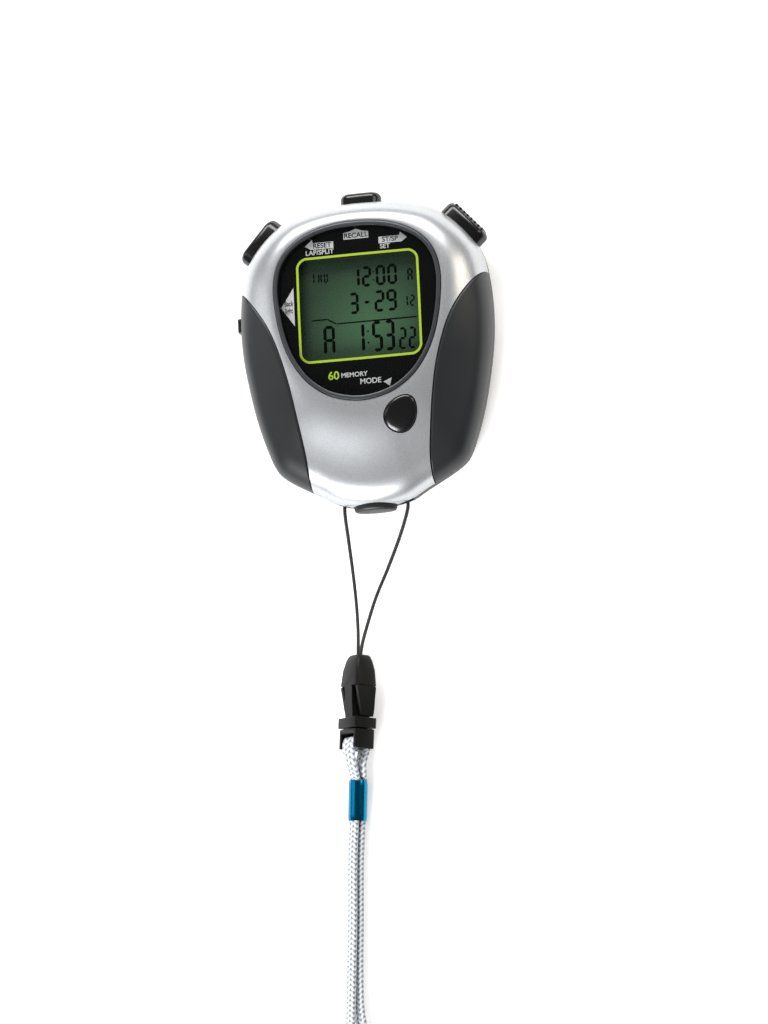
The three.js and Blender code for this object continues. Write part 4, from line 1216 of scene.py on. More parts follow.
MODE_DOME_SIZES = (0.985, 0.95, 0.88, 0.78, 0.64, 0.48, 0.32, 0.16, 0.04)


def level_ring(radii, z):
    points = []
    for angle in CASE_ANGLES:
        reach = radius_at(radii, angle)
        points.append(Vector((
            LENS_CENTRE[0] + reach * math.cos(angle), LENS_CENTRE[1] + reach * math.sin(angle), z,
        )))
    return points


def front_ring(s, distance=0.0, radii=None, lowest=0.0):
    points = [front_point(angle, s, distance, radii) for angle in CASE_ANGLES]
    for point in points:
        point.z = max(point.z, lowest)
    return points


def front_form(distance, bottom):
    """The front's whole form as one solid, moved inwards by a distance."""
    radii = inset(CASE_RADII, distance)
    rings = [front_ring(math.sin(i * math.pi / 2 / FORM_STEPS), distance, radii)
             for i in range(FORM_STEPS + 1)]
    return ring_loft([*rings, level_ring(radii, bottom)])


def grip_line(side, grow):
    """The line between the silver front and a grip, from the head to the foot."""
    line = catmull_rom([Vector(q) for q in GRIP_EDGE], GRIP_LINE_STEPS)
    return [(side * (p.x - grow), p.y) for p in line]


def grip_block(side, grow):
    outer = [(side * OUTSIDE, GRIP_EDGE[-1][1]), (side * OUTSIDE, GRIP_EDGE[0][1])]
    return prism(grip_line(side, grow) + outer, 0, OUTSIDE)


def edge_frame(button):
    """Local x runs along the case's edge, y up and z outwards from it."""
    turn = math.radians(button["angle"])
    along = Vector((-math.sin(turn), math.cos(turn), 0))
    outwards = Vector((math.cos(turn), math.sin(turn), 0))
    turned_frame = Matrix((along, Vector((0, 0, 1)), outwards)).transposed().to_4x4()
    return Matrix.Translation((*button["at"], PARTING_Z)) @ turned_frame


def slot_bar(width, height, start, end, corner=None):
    """A bar with rounded ends, from start to end along z."""
    bm = bmesh.new()
    radius = height / 2 if corner is None else corner
    bmesh.ops.create_circle(bm, cap_ends=True, segments=32, radius=radius)
    for vert in bm.verts:
        if abs(vert.co.x) > TOUCHING:
            vert.co.x += math.copysign(width / 2 - radius, vert.co.x)
        if abs(vert.co.y) > TOUCHING:
            vert.co.y += math.copysign(height / 2 - radius, vert.co.y)
    thicken(bm, end - start)
    return shifted(bm, 0, 0, start)


def button_hole(button, grow):
    hole = slot_bar(button["width"] + 2 * grow, button["height"] + 2 * grow, -HOLE_HALF, HOLE_HALF)
    return placed(hole, edge_frame(button))


def lug_oval(grow, y):
    """The lug's outline at one y, as a ring of points."""
    outline = oval(LUG_HALF[0] + grow, LUG_HALF[1] + grow, LUG_SIDES)
    return [Vector((x, y, LUG_Z + z)) for x, z in outline]


def lug_plate(grow, front, back):
    return ring_loft([lug_oval(grow, front), lug_oval(grow, back)])


def lug_head(front, back):
    """The seen part of the lug, with its front edge rounded."""
    rings = []
    for i in range(LUG_STEPS + 1):
        angle = math.pi / 2 * i / LUG_STEPS
        rings.append(lug_oval(
            -LUG_ROUNDING * (1 - math.sin(angle)), front + LUG_ROUNDING * (1 - math.cos(angle)),
        ))
    return ring_loft([*rings, lug_oval(0, back)])


def strap_holes():
    low, high = STRAP_HOLE_Z
    return [block((side * STRAP_HOLE_X - STRAP_HOLE_HALF, -OUTSIDE, low),
                  (side * STRAP_HOLE_X + STRAP_HOLE_HALF, STRAP_HOLE_END, high))
            for side in (-1, 1)]


def light_block(start, end, half_y, half_z, rounding=0.0):
    """A block round the backlight button's axis, from start to end inwards from the edge."""
    b = LIGHT_BUTTON
    return block((b["edge"] + start, b["y"] - half_y, b["z"] - half_z),
                 (b["edge"] + end, b["y"] + half_y, b["z"] + half_z), rounding, 3)


def light_hole(grow):
    half_y, half_z = LIGHT_BUTTON["half_y"] + grow, LIGHT_BUTTON["half_z"] + grow
    return light_block(*LIGHT_HOLE, half_y, half_z)


def egg(grow, size=1.0):
    """The mode button's outline: an egg, blunt at its lower left end."""
    turn = math.radians(MODE["turn"])
    points = []
    for i in range(EGG_SIDES):
        angle = 2 * math.pi * i / EGG_SIDES
        along = math.cos(angle) * (MODE["long"] + grow) * size
        taper = 1 - MODE["taper"] * math.cos(angle)
        wide = math.sin(angle) * (MODE["wide"] + grow) * size * taper
        points.append((
            MODE["x"] + along * math.cos(turn) - wide * math.sin(turn),
            MODE["y"] + along * math.sin(turn) + wide * math.cos(turn),
        ))
    return points


def about_hatch(degrees):
    """A turn about the hatch's axis."""
    turn = Matrix.Rotation(math.radians(degrees), 4, "Z")
    return Matrix.Translation((0, HATCH_Y, 0)) @ turn


def case_openings(seam):
    """What both halves of the case are cut by."""
    holes = [button_hole(button, seam) for button in EDGE_BUTTONS.values()]
    return [*holes, lug_plate(seam, *LUG_OPENING), *strap_holes()]


class WATCH_OT_front_shell(bpy.types.Operator):
    """The silver front half of the case, cut for the lens, grips, buttons and strap"""

    bl_idname = "watch.front_shell"
    bl_label = "Front Shell"

    def execute(self, context):
        seam = sizes().seam
        seat = inset(LENS_RADII, SEAT_WIDTH)
        deep, wide, drop = RIM_ROUNDING
        rings = [
            level_ring(seat, LEDGE_Z), level_ring(seat, SEAT_Z), level_ring(LENS_RADII, SEAT_Z),
            level_ring(LENS_RADII, RIM_Z - deep), level_ring(inset(LENS_RADII, -wide), RIM_Z - drop),
        ]
        for i in range(1, FRONT_STEPS + 1):
            rings.append(front_ring(math.sin(i * math.pi / 2 / FRONT_STEPS), lowest=FRONT_LOWEST))
        wall = inset(CASE_RADII, WALL)
        rings += [front_ring(s, WALL, wall, FRONT_LOWEST) for s in WALL_STEPS]
        shell = ring_loft(rings, joined=True)
        floor = front_form(sizes().grip_thickness + RECESS_CLEARANCE, RECESS_BOTTOM)
        recesses = [cut(grip_block(side, seam), floor.copy()) for side in (-1, 1)]
        mode_hole = prism(egg(seam), PARTING_Z, OUTSIDE)
        shell = cut(shell, *recesses, mode_hole, light_hole(seam), *case_openings(seam))
        piece("front_case", shell, finish_named("silver"), "case", ["front_shell"])
        return {"FINISHED"}


class WATCH_OT_rear_shell(bpy.types.Operator):
    """The black rear half of the case with its hatch opening and screw wells"""

    bl_idname = "watch.rear_shell"
    bl_label = "Rear Shell"

    def execute(self, context):
        rings = []
        for i in range(BACK_STEPS + 1):
            swing = math.pi / 2 * (1 - i / BACK_STEPS)
            outline = inset(CASE_RADII, BACK_ROUNDING * (1 - math.cos(swing)))
            rings.append(level_ring(outline, min(BACK_HIGHEST, PARTING_Z * (1 - math.sin(swing)))))
        rings.append(level_ring(inset(CASE_RADII, WALL), BACK_HIGHEST))
        for swing in INNER_SWINGS:
            outline = inset(CASE_RADII, WALL + BACK_ROUNDING * (1 - math.cos(swing)))
            rings.append(level_ring(outline, PARTING_Z - (PARTING_Z - WALL) * math.sin(swing)))
        radius, depth = SCREW_WELL
        wells = [column(x, y, radius, -1, depth) for x, y in CASE_SCREWS]
        ways = [column(x, y, SCREW_WAY, -1, OUTSIDE) for x, y in CASE_SCREWS]
        posts = [column(x, y, SCREW_POST, FLOOR_TOP, BACK_HIGHEST) for x, y in CASE_SCREWS]
        radius, height = HATCH_RING
        shell = join(ring_loft(rings), *posts, column(0, HATCH_Y, radius, FLOOR_TOP, height, 96))
        opening = [column(0, HATCH_Y, *step) for step in HATCH_STEPS]
        notches = [placed(block(*HATCH_NOTCH), about_hatch(120 * i + OPENING_TURNS)) for i in range(3)]
        shell = cut(shell, *wells, *ways, *opening, *notches, *case_openings(sizes().seam))
        piece("rear_case", shell, finish_named("rear"), "case", ["rear_shell"])
        return {"FINISHED"}


def surface_normal(angle, swing):
    """The front's outward direction, swing being the angle whose sine is s."""
    step = 1e-3
    low, high = swing - step, swing + step
    if high > math.pi / 2:
        low, high = math.pi / 2 - 2 * step, math.pi / 2
    down = front_point(angle, math.sin(high)) - front_point(angle, math.sin(low))
    s = math.sin(swing)
    sideways = front_point(angle + step, s) - front_point(angle - step, s)
    return down.cross(sideways).normalized()


GRIP_LINE_STEPS = 12
GRIP_LENGTHWAYS = 150
GRIP_CROSSWAYS = 40
GRIP_GATHERS = 1.5  # a higher power sets more of the sheet's rows near its inner edge
GRIP_ROUNDING = 0.9
GRIP_EDGE_DROP = 0.5
GRIP_PROUD = 0.15
GRIP_TOUCHING = 1e-3  # points of the sheet nearer than this are one
NEARLY_AT_EDGE = 0.9995  # the s past which the grip's line has left the front


def grip_patch(side):
    """A grip as a sheet over the case, rounded down along its inner edge, then thickened."""
    line = []
    for x, y in grip_line(1, 0.0):
        angle, s = front_s(x, y)
        if s < NEARLY_AT_EDGE:
            line.append((angle, math.asin(s)))
    line = np.array(line)
    places = np.array([front_point(a, math.sin(w)) for a, w in line])
    along = np.concatenate([[0], np.cumsum(np.linalg.norm(np.diff(places, axis=0), axis=1))])
    along /= along[-1]
    bm = bmesh.new()
    bmesh.ops.create_grid(bm, x_segments=GRIP_LENGTHWAYS, y_segments=GRIP_CROSSWAYS, size=0.5)
    inwards = {}
    for vert in bm.verts:
        u, v = vert.co.x + 0.5, vert.co.y + 0.5
        angle = float(np.interp(u, along, line[:, 0]))
        start = float(np.interp(u, along, line[:, 1]))
        swing = start + (math.pi / 2 - start) * v ** GRIP_GATHERS
        point = front_point(angle, math.sin(swing))
        from_edge = (point - front_point(angle, math.sin(start))).length
        t = 1 - min(1.0, from_edge / GRIP_ROUNDING)
        drop = GRIP_EDGE_DROP * (1 - math.sqrt(1 - t * t))
        normal = surface_normal(angle, swing)
        point += normal * (GRIP_PROUD * (1 - v) * (1 - t) - drop)
        point.z = max(point.z, FRONT_LOWEST)
        vert.co = (side * point.x, point.y, point.z)
        inwards[vert] = Vector((-side * normal.x, -normal.y, -normal.z))
    thickness = sizes().grip_thickness
    lowered = {tuple(v.co): inwards[v] for v in bm.verts}
    raised = bmesh.ops.extrude_face_region(bm, geom=bm.faces[:])
    for vert in raised["geom"]:
        if isinstance(vert, bmesh.types.BMVert):
            moved = vert.co + lowered[tuple(vert.co)] * thickness
            vert.co = (moved.x, moved.y, max(moved.z, FRONT_LOWEST))
    bmesh.ops.remove_doubles(bm, verts=bm.verts, dist=GRIP_TOUCHING)
    bmesh.ops.dissolve_degenerate(bm, dist=GRIP_TOUCHING, edges=bm.edges)
    bmesh.ops.recalc_face_normals(bm, faces=bm.faces)
    return bm


class WATCH_OT_grips(bpy.types.Operator):
    """The two charcoal rubber grips along the sides of the case"""

    bl_idname = "watch.grips"
    bl_label = "Grips"

    def execute(self, context):
        piece("grip_right", grip_patch(1), finish_named("grip"), "case", ["right_grip"],
              sharp_angle=50)
        left = cut(grip_patch(-1), light_hole(sizes().seam), solver="EXACT")
        piece("grip_left", left, finish_named("grip"), "case", ["left_grip"],
              sharp_angle=50)
        return {"FINISHED"}


# ---------- buttons ----------


CAP_BACK = -3.5  # outwards from the case's edge, as are the next two
FLANGE = (-4.0, -3.1)
STEM = (-5.85, -3.4)
FLANGE_WIDER = 1.6
STEM_RADIUS = 1.2
CAP_ROUNDING = 1.5
RIBS_SHORT_OF = 3.4  # the part of a cap's width without ribs
RIB_HALF = (0.42, 2.5)
RIB_SUNK = 0.6
RIB_PROUD = 0.38
RIB_ROUNDING = 0.3
LIGHT_CAP = (-0.5, 3.8)  # from the edge: how far out, and how far in
LIGHT_CAP_ROUNDING = 0.45
LIGHT_PLATE = (3.4, 4.2)
LIGHT_PLATE_HALF = (2.8, 1.6)


def edge_button(button):
    """A push button's cap with a rounded face, ribs on it, a flange and a stem behind it."""
    proud = sizes().button_proud
    cap = slot_bar(button["width"], button["height"], CAP_BACK, proud)
    face = [e for e in cap.edges if all(v.co.z > proud - TOUCHING for v in e.verts)]
    round_edges(cap, face, CAP_ROUNDING, 5)
    flange = slot_bar(button["width"] + FLANGE_WIDER, button["height"] + FLANGE_WIDER, *FLANGE)
    parts = [flange, column(0, 0, STEM_RADIUS, *STEM, 24)]
    pitch = (button["width"] - RIBS_SHORT_OF) / max(1, button["ribs"])
    half_x, half_y = RIB_HALF
    for i in range(button["ribs"]):
        middle = (i - (button["ribs"] - 1) / 2) * pitch
        parts.append(block((middle - half_x, -half_y, proud - RIB_SUNK),
                           (middle + half_x, half_y, proud + RIB_PROUD), RIB_ROUNDING, 3))
    return placed(join(cap, *parts), edge_frame(button))


class WATCH_OT_edge_buttons(bpy.types.Operator):
    """The three push buttons in the head of the case"""

    bl_idname = "watch.edge_buttons"
    bl_label = "Edge Buttons"

    def execute(self, context):
        for name, button in EDGE_BUTTONS.items():
            piece(f"{name}_cap", edge_button(button), finish_named("gloss"), name,
                  [f"{name}_button"], sharp_angle=40)
        return {"FINISHED"}


class WATCH_OT_mode_button(bpy.types.Operator):
    """The glossy egg-shaped mode button on the slope below the lens"""

    bl_idname = "watch.mode_button"
    bl_label = "Mode Button"

    def execute(self, context):
        flange = MODE["flange"]
        top = flange + EGG_FLANGE
        rings = [[Vector((x, y, z)) for x, y in egg(EGG_FLANGE)] for z in (flange, top)]
        rings.append([Vector((x, y, top)) for x, y in egg(0)])
        rings.append([Vector((x, y, front_z(x, y) - MODE_SUNK)) for x, y in egg(0)])
        for size in MODE_DOME_SIZES:
            rise = MODE_DOME * (1 - size ** 4) ** MODE_ROUNDNESS - MODE_SUNK
            rings.append([Vector((x, y, front_z(x, y) + rise)) for x, y in egg(0, size)])
        piece("mode_cap", ring_loft(rings), finish_named("gloss"), "mode",
              ["mode_button"], sharp_angle=55)
        return {"FINISHED"}


class WATCH_OT_backlight_button(bpy.types.Operator):
    """The small backlight button in the left grip"""

    bl_idname = "watch.backlight_button"
    bl_label = "Backlight Button"

    def execute(self, context):
        b = LIGHT_BUTTON
        cap = light_block(*LIGHT_CAP, b["half_y"], b["half_z"], LIGHT_CAP_ROUNDING)
        plate = light_block(*LIGHT_PLATE, *LIGHT_PLATE_HALF)
        piece("backlight_cap", join(cap, plate), finish_named("gloss"), "backlight",
              ["backlight_button"])
        return {"FINISHED"}


# ---------- lens, display and its words ----------

BEZEL_WIDTH = 1.2
PRINT_EDGE = 0.15  # how far the lens print comes up the edge of the lens, across
BEZEL_TOP = 21.0
BEZEL_ROUNDING = 0.22
BEZEL_CLEARANCES = (0.12, 0.05, 0.02)  # to the case, to the print and to the lens
LENS_TOP = 20.5
LENS_ROUNDING = 0.2
LENS_BOTTOM = 18.9
PRINT_Z = 18.84
MASK_THICKNESS = 0.12
MASK_EVERY = 6  # samples of the outline between the points of the mask's edge
PRINT_BELOW_TOP = 0.25
FRAME_THICKNESS = 0.03
TAG_THICKNESS = 0.015
WORD_RAISED = 0.005
DISPLAY_Y = 10.0
FRAME_HALF = (16.15, 14.05)
FRAME_CORNER = 3.1
DISPLAY_TOP = 16.1
SEGMENT_RAISED = 0.02
SEGMENT_THICKNESS = 0.04
SEGMENT_GAP = 0.08
DIVIDER_WIDTH = 0.3
SEGMENTS = {
    "0": "abcdef", "1": "bc", "2": "abged", "3": "abgcd", "5": "afgcd", "9": "abcdfg",
    "A": "abcefg", "-": "g", "T": "abc", "H": "bcefg", "U": "bcdef",
}
# text, middle x, middle y, digit width, digit height, pitch, stroke
READOUTS = [
    ("12", 0.25, 18.3, 2.5, 5.3, 3.05, 0.7),
    ("00", 7.0, 18.3, 2.5, 5.3, 3.05, 0.7),
    ("A", 13.2, 17.7, 1.4, 3.4, 2.0, 0.4),
    ("3", -1.85, 11.5, 2.55, 5.6, 3.2, 0.7),
    ("-", 1.6, 11.5, 2.2, 5.6, 3.2, 0.7),
    ("29", 6.5, 11.5, 2.65, 5.6, 3.2, 0.7),
    ("12", 12.6, 10.9, 1.3, 3.0, 1.8, 0.38),
    ("A", -8.7, 2.3, 3.0, 7.7, 3.4, 0.8),
    ("1", -0.55, 2.3, 2.3, 8.0, 3.4, 0.8),
    ("53", 5.55, 2.3, 2.75, 8.0, 3.15, 0.8),
    ("22", 11.8, 1.15, 2.0, 5.7, 2.5, 0.58),
    ("THU", -10.5, 18.9, 1.1, 2.7, 1.6, 0.38),
]
# middle x, middle y, rise of each dot, size of a dot
COLONS = [(3.65, 18.3, 1.1, 0.5), (1.55, 2.3, 1.5, 0.6)]
DIVIDER = [(-13.2, 7.9), (-9.0, 7.9), (-6.7, 6.5), (14.5, 6.5)]
# words, middle x, middle y, letter height, ink, and how wide the letters are drawn
WORDS = [
    ("RECALL", 0.0, 28.75, 1.35, "mask", 1.0), ("RESET", -9.0, 26.85, 1.35, "mask", 1.0),
    ("LAP/SPLIT", -9.7, 25.1, 1.3, "label", 1.0), ("ST/SP", 8.9, 26.9, 1.35, "mask", 1.0),
    ("SET", 7.5, 25.15, 1.25, "label", 1.0), ("Back", -18.4, 12.25, 1.5, "mask", 0.6),
    ("light", -18.4, 10.35, 1.5, "mask", 0.6), ("60", -7.4, -7.8, 2.2, "lime", 1.0),
    ("MEMORY", -2.0, -7.9, 1.25, "label", 1.0), ("MODE", 2.2, -9.9, 1.45, "label", 1.0),
]
TAGS = [
    [(-3.3, 27.85), (3.3, 27.85), (3.3, 29.6), (1.6, 29.9), (0, 30.5), (-1.6, 29.9), (-3.3, 29.6)],
    [(-12.0, 26.0), (-6.0, 26.0), (-6.0, 27.75), (-11.4, 27.75), (-11.6, 28.6), (-13.5, 27.0)],
    [(12.0, 26.0), (5.9, 26.0), (5.9, 27.75), (11.4, 27.75), (11.6, 28.6), (13.4, 27.0)],
    [(-20.4, 11.3), (-17.0, 6.2), (-17.0, 16.4)],
    [(5.5, -10.4), (7.7, -9.5), (7.2, -11.6)],
]


def ring_band(outer, inner, bottom, top, rounding):
    """A band that follows the lens outline, its upper edges rounded, more so inside."""
    section = [
        (outer, bottom), (outer, top - rounding), (outer + 0.3 * rounding, top - 0.3 * rounding),
        (outer + rounding, top), (inner - 1.6 * rounding, top),
        (inner - 0.4 * rounding, top - 0.4 * rounding), (inner, top - 1.6 * rounding),
        (inner, bottom),
    ]
    return ring_loft([level_ring(inset(LENS_RADII, a), z) for a, z in section], joined=True)


class WATCH_OT_lens(bpy.types.Operator):
    """The lens ring, the clear lens and the black and lime print behind it"""

    bl_idname = "watch.lens"
    bl_label = "Lens"

    def execute(self, context):
        line = sizes().frame_width
        to_case, to_print, to_lens = BEZEL_CLEARANCES
        band = ring_band(to_case, BEZEL_WIDTH, LENS_BOTTOM, BEZEL_TOP, BEZEL_ROUNDING)
        piece("lens_ring", band, finish_named("bezel"), "case", ["lens_bezel"])
        inner = inset(LENS_RADII, BEZEL_WIDTH + to_print)
        plate = inset(inner, PRINT_EDGE + to_lens)
        rings = [level_ring(plate, LENS_BOTTOM), level_ring(plate, LENS_TOP - LENS_ROUNDING),
                 level_ring(inset(plate, LENS_ROUNDING), LENS_TOP)]
        piece("lens_plate", ring_loft(rings), finish_named("lens"), "case", ["lens"])
        inside = (2 * (FRAME_HALF[0] - line), 2 * (FRAME_HALF[1] - line))
        window = slot_bar(*inside, 0, OUTSIDE, FRAME_CORNER - line)
        surround = slot_bar(2 * FRAME_HALF[0], 2 * FRAME_HALF[1], PRINT_Z,
                            PRINT_Z + FRAME_THICKNESS, FRAME_CORNER)
        for shape in (window, surround):
            shifted(shape, 0, DISPLAY_Y, 0)
        outline = [tuple(point) for point in to_points(inner)[::MASK_EVERY]]
        mask = cut(prism(outline, PRINT_Z - MASK_THICKNESS, PRINT_Z), window.copy())
        edge = inset(inner, PRINT_EDGE)
        top = LENS_TOP - PRINT_BELOW_TOP
        section = [(inner, PRINT_Z), (inner, top), (edge, top), (edge, PRINT_Z)]
        add_to(mask, ring_loft([level_ring(radii, z) for radii, z in section], joined=True))
        piece("lens_print", mask, finish_named("mask"), "case")
        piece("display_frame", cut(surround, window), finish_named("lime"), "case")
        return {"FINISHED"}


def stroke(a, b, width, z):
    """A flat stroke of the display, pointed at both ends, as six points."""
    a, b = Vector(a), Vector(b)
    along = (b - a).normalized()
    beside = Vector((-along.y, along.x)) * width / 2
    tip = along * width / 2
    outline = [a, a + tip + beside, b - tip + beside, b, b - tip - beside, a + tip - beside]
    return [(p.x, p.y, z) for p in outline]


def digit_strokes(letter, x, y, width, height, line):
    """The ends of a character's strokes, which are lettered a to g as on any such display."""
    left, right = x - width / 2 + line / 2, x + width / 2 - line / 2
    top, bottom = y + height / 2 - line / 2, y - height / 2 + line / 2
    gap = SEGMENT_GAP
    ends = {
        "a": ((left + gap, top), (right - gap, top)),
        "b": ((right, top - gap), (right, y + gap)),
        "c": ((right, y - gap), (right, bottom + gap)),
        "d": ((left + gap, bottom), (right - gap, bottom)),
        "e": ((left, y - gap), (left, bottom + gap)),
        "f": ((left, top - gap), (left, y + gap)),
        "g": ((left + gap, y), (right - gap, y)),
    }
    if letter == "T":
        ends["b"], ends["c"] = ((x, top - gap), (x, y + gap)), ((x, y - gap), (x, bottom + gap))
    return [ends[key] for key in SEGMENTS[letter]]


class WATCH_OT_display(bpy.types.Operator):
    """The display's switched segments, a little above its reflector"""

    bl_idname = "watch.display"
    bl_label = "Display"

    def execute(self, context):
        bm = bmesh.new()
        z = DISPLAY_TOP + SEGMENT_RAISED
        for text, x, y, width, height, pitch, line in READOUTS:
            for i, letter in enumerate(text):
                place = x + (i - (len(text) - 1) / 2) * pitch
                for start, end in digit_strokes(letter, place, y, width, height, line):
                    face_from(bm, stroke(start, end, line, z))
        for x, y, rise, dot in COLONS:
            for side in (-1, 1):
                middle = y + side * rise
                face_from(bm, stroke((x, middle - dot / 2), (x, middle + dot / 2), dot, z))
        for start, end in zip(DIVIDER, DIVIDER[1:]):
            face_from(bm, stroke(start, end, DIVIDER_WIDTH, z))
        thicken(bm, SEGMENT_THICKNESS)
        piece("display_segments", bm, finish_named("segment"), "case")
        return {"FINISHED"}


WORD_THICKNESS = 0.02
CAPITALS = 1.35  # a letter's size in proportion to the height of its capitals
BOLDNESS = 0.025


def word_shape(text, x, y, height, stretch, bottom):
    """Plain lettering as a flat mesh, centred on a place."""
    curve = bpy.data.curves.new("word", "FONT")
    curve.body = text
    curve.size = height * CAPITALS
    curve.align_x = "CENTER"
    curve.align_y = "CENTER"
    curve.extrude = WORD_THICKNESS / 2
    curve.offset = height * BOLDNESS
    letters = bpy.data.objects.new("word", curve)
    bpy.context.scene.collection.objects.link(letters)
    bpy.context.view_layer.update()
    bm = bmesh.new()
    bm.from_mesh(letters.evaluated_get(bpy.context.evaluated_depsgraph_get()).to_mesh())
    bpy.data.objects.remove(letters)
    bpy.data.curves.remove(curve)
    bmesh.ops.remove_doubles(bm, verts=bm.verts, dist=TOUCHING)
    bmesh.ops.scale(bm, vec=(stretch, 1, 1), verts=bm.verts)
    return shifted(bm, x, y, bottom + WORD_THICKNESS / 2)


class WATCH_OT_words(bpy.types.Operator):
    """The plain tags and function words printed behind the lens"""

    bl_idname = "watch.words"
    bl_label = "Tags and Words"

    def execute(self, context):
        tags = bmesh.new()
        for outline in TAGS:
            add_to(tags, prism(outline, PRINT_Z, PRINT_Z + TAG_THICKNESS))
        piece("lens_tags", tags, finish_named("label"), "case")
        for ink in ("mask", "label", "lime"):
            words = bmesh.new()
            for text, x, y, height, colour, stretch in WORDS:
                if colour == ink:
                    bottom = PRINT_Z + WORD_RAISED
                    add_to(words, word_shape(text, x, y, height, stretch, bottom))
            piece(f"lens_words_{ink}", words, finish_named(ink), "case")
        return {"FINISHED"}


# ---------- strap lug, clip and ferrule ----------


class WATCH_OT_strap_lug(bpy.types.Operator):
    """The grey oval strap lug in the foot of the case"""

    bl_idname = "watch.strap_lug"
    bl_label = "Strap Lug"

    def execute(self, context):
        lug = join(lug_head(LUG_FRONT, LUG_HEAD_BACK), lug_plate(*LUG_FLANGE), block(*LUG_NECK))
        piece("lug", lug, finish_named("lug"), "case", ["strap_lug"])
        return {"FINISHED"}


# in the clip's frame, in millimetres: half across, half through and place along
CLIP_DOME = [(2.2, 1.7, 0), (2.62, 2.0, 0.4), (3.1, 2.4, 1.6), (3.7, 2.85, 4), (4.1, 3.1, 8),
             (4.0, 2.98, 10.5), (3.75, 2.65, 16.3)]
CLIP_WINDOW = (8.0, 16.3)
CLIP_CORE = 1.7
CLIP_COLLAR = (4.3, 3.25, 16.3, 18.9)
CLIP_VOID = (3.5, 1.5, 8.6)
CLIP_BASE = (4.0, 2.9, 19.2, 20.4)
CLIP_FRAME_END = 24.2
CLIP_BAR_FROM = 22.9
CLIP_BAR_HALF = 1.5
CLIP_FRAME_WINDOW = 2.9
CLIP_ARM = {
    "inner": 3.0, "outer": 4.05, "from": 8.12, "to": 15.9, "wide": 2.8, "near": 1.2, "far": 2.45,
}
CLIP_SPRING = (2.5, 3.2, 1.1, 18.9)  # an arm's root: inner and outer side, half height and end
CLIP_CORNERS = {"dome": 0.75, "collar": 0.55, "base": 0.5}
CLIP_THROAT = ((-2.6, -1.05, 2.2), (2.6, 1.05, 9.1))
CLIP_MOUTH = ((-1.6, -1.05, -1), (1.6, 1.05, 3))
CLIP_GUIDE = (1.2, 1.1, 9.6)  # half sizes and start of the tongue's guide
CLIP_BEYOND = 8  # past every side of the clip
SOCKET_BEVEL = 0.12  # on the arms too
TONGUE_BEVEL = 0.15
POST = {"radius": 1.0, "half": 1.5, "at": 5.2}
CLIP_FRAME_MATRIX = Matrix.Translation(CLIP_ORIGIN / MM) @ Matrix(
    (CLIP_ACROSS, CLIP_THROUGH, CLIP_ALONG)).transposed().to_4x4()


def soft_rectangle(half_x, half_y, corner, z, steps=3):
    """A rectangle with rounded corners as a ring of points."""
    points = []
    for start, (sx, sy) in enumerate([(1, 1), (-1, 1), (-1, -1), (1, -1)]):
        for i in range(steps + 1):
            angle = math.pi / 2 * (start + i / steps)
            points.append(Vector((
                sx * (half_x - corner) + corner * math.cos(angle),
                sy * (half_y - corner) + corner * math.sin(angle), z,
            )))
    return points


def clip_block(half_p, half_q, start, end):
    return block((-half_p, -half_q, start), (half_p, half_q, end))


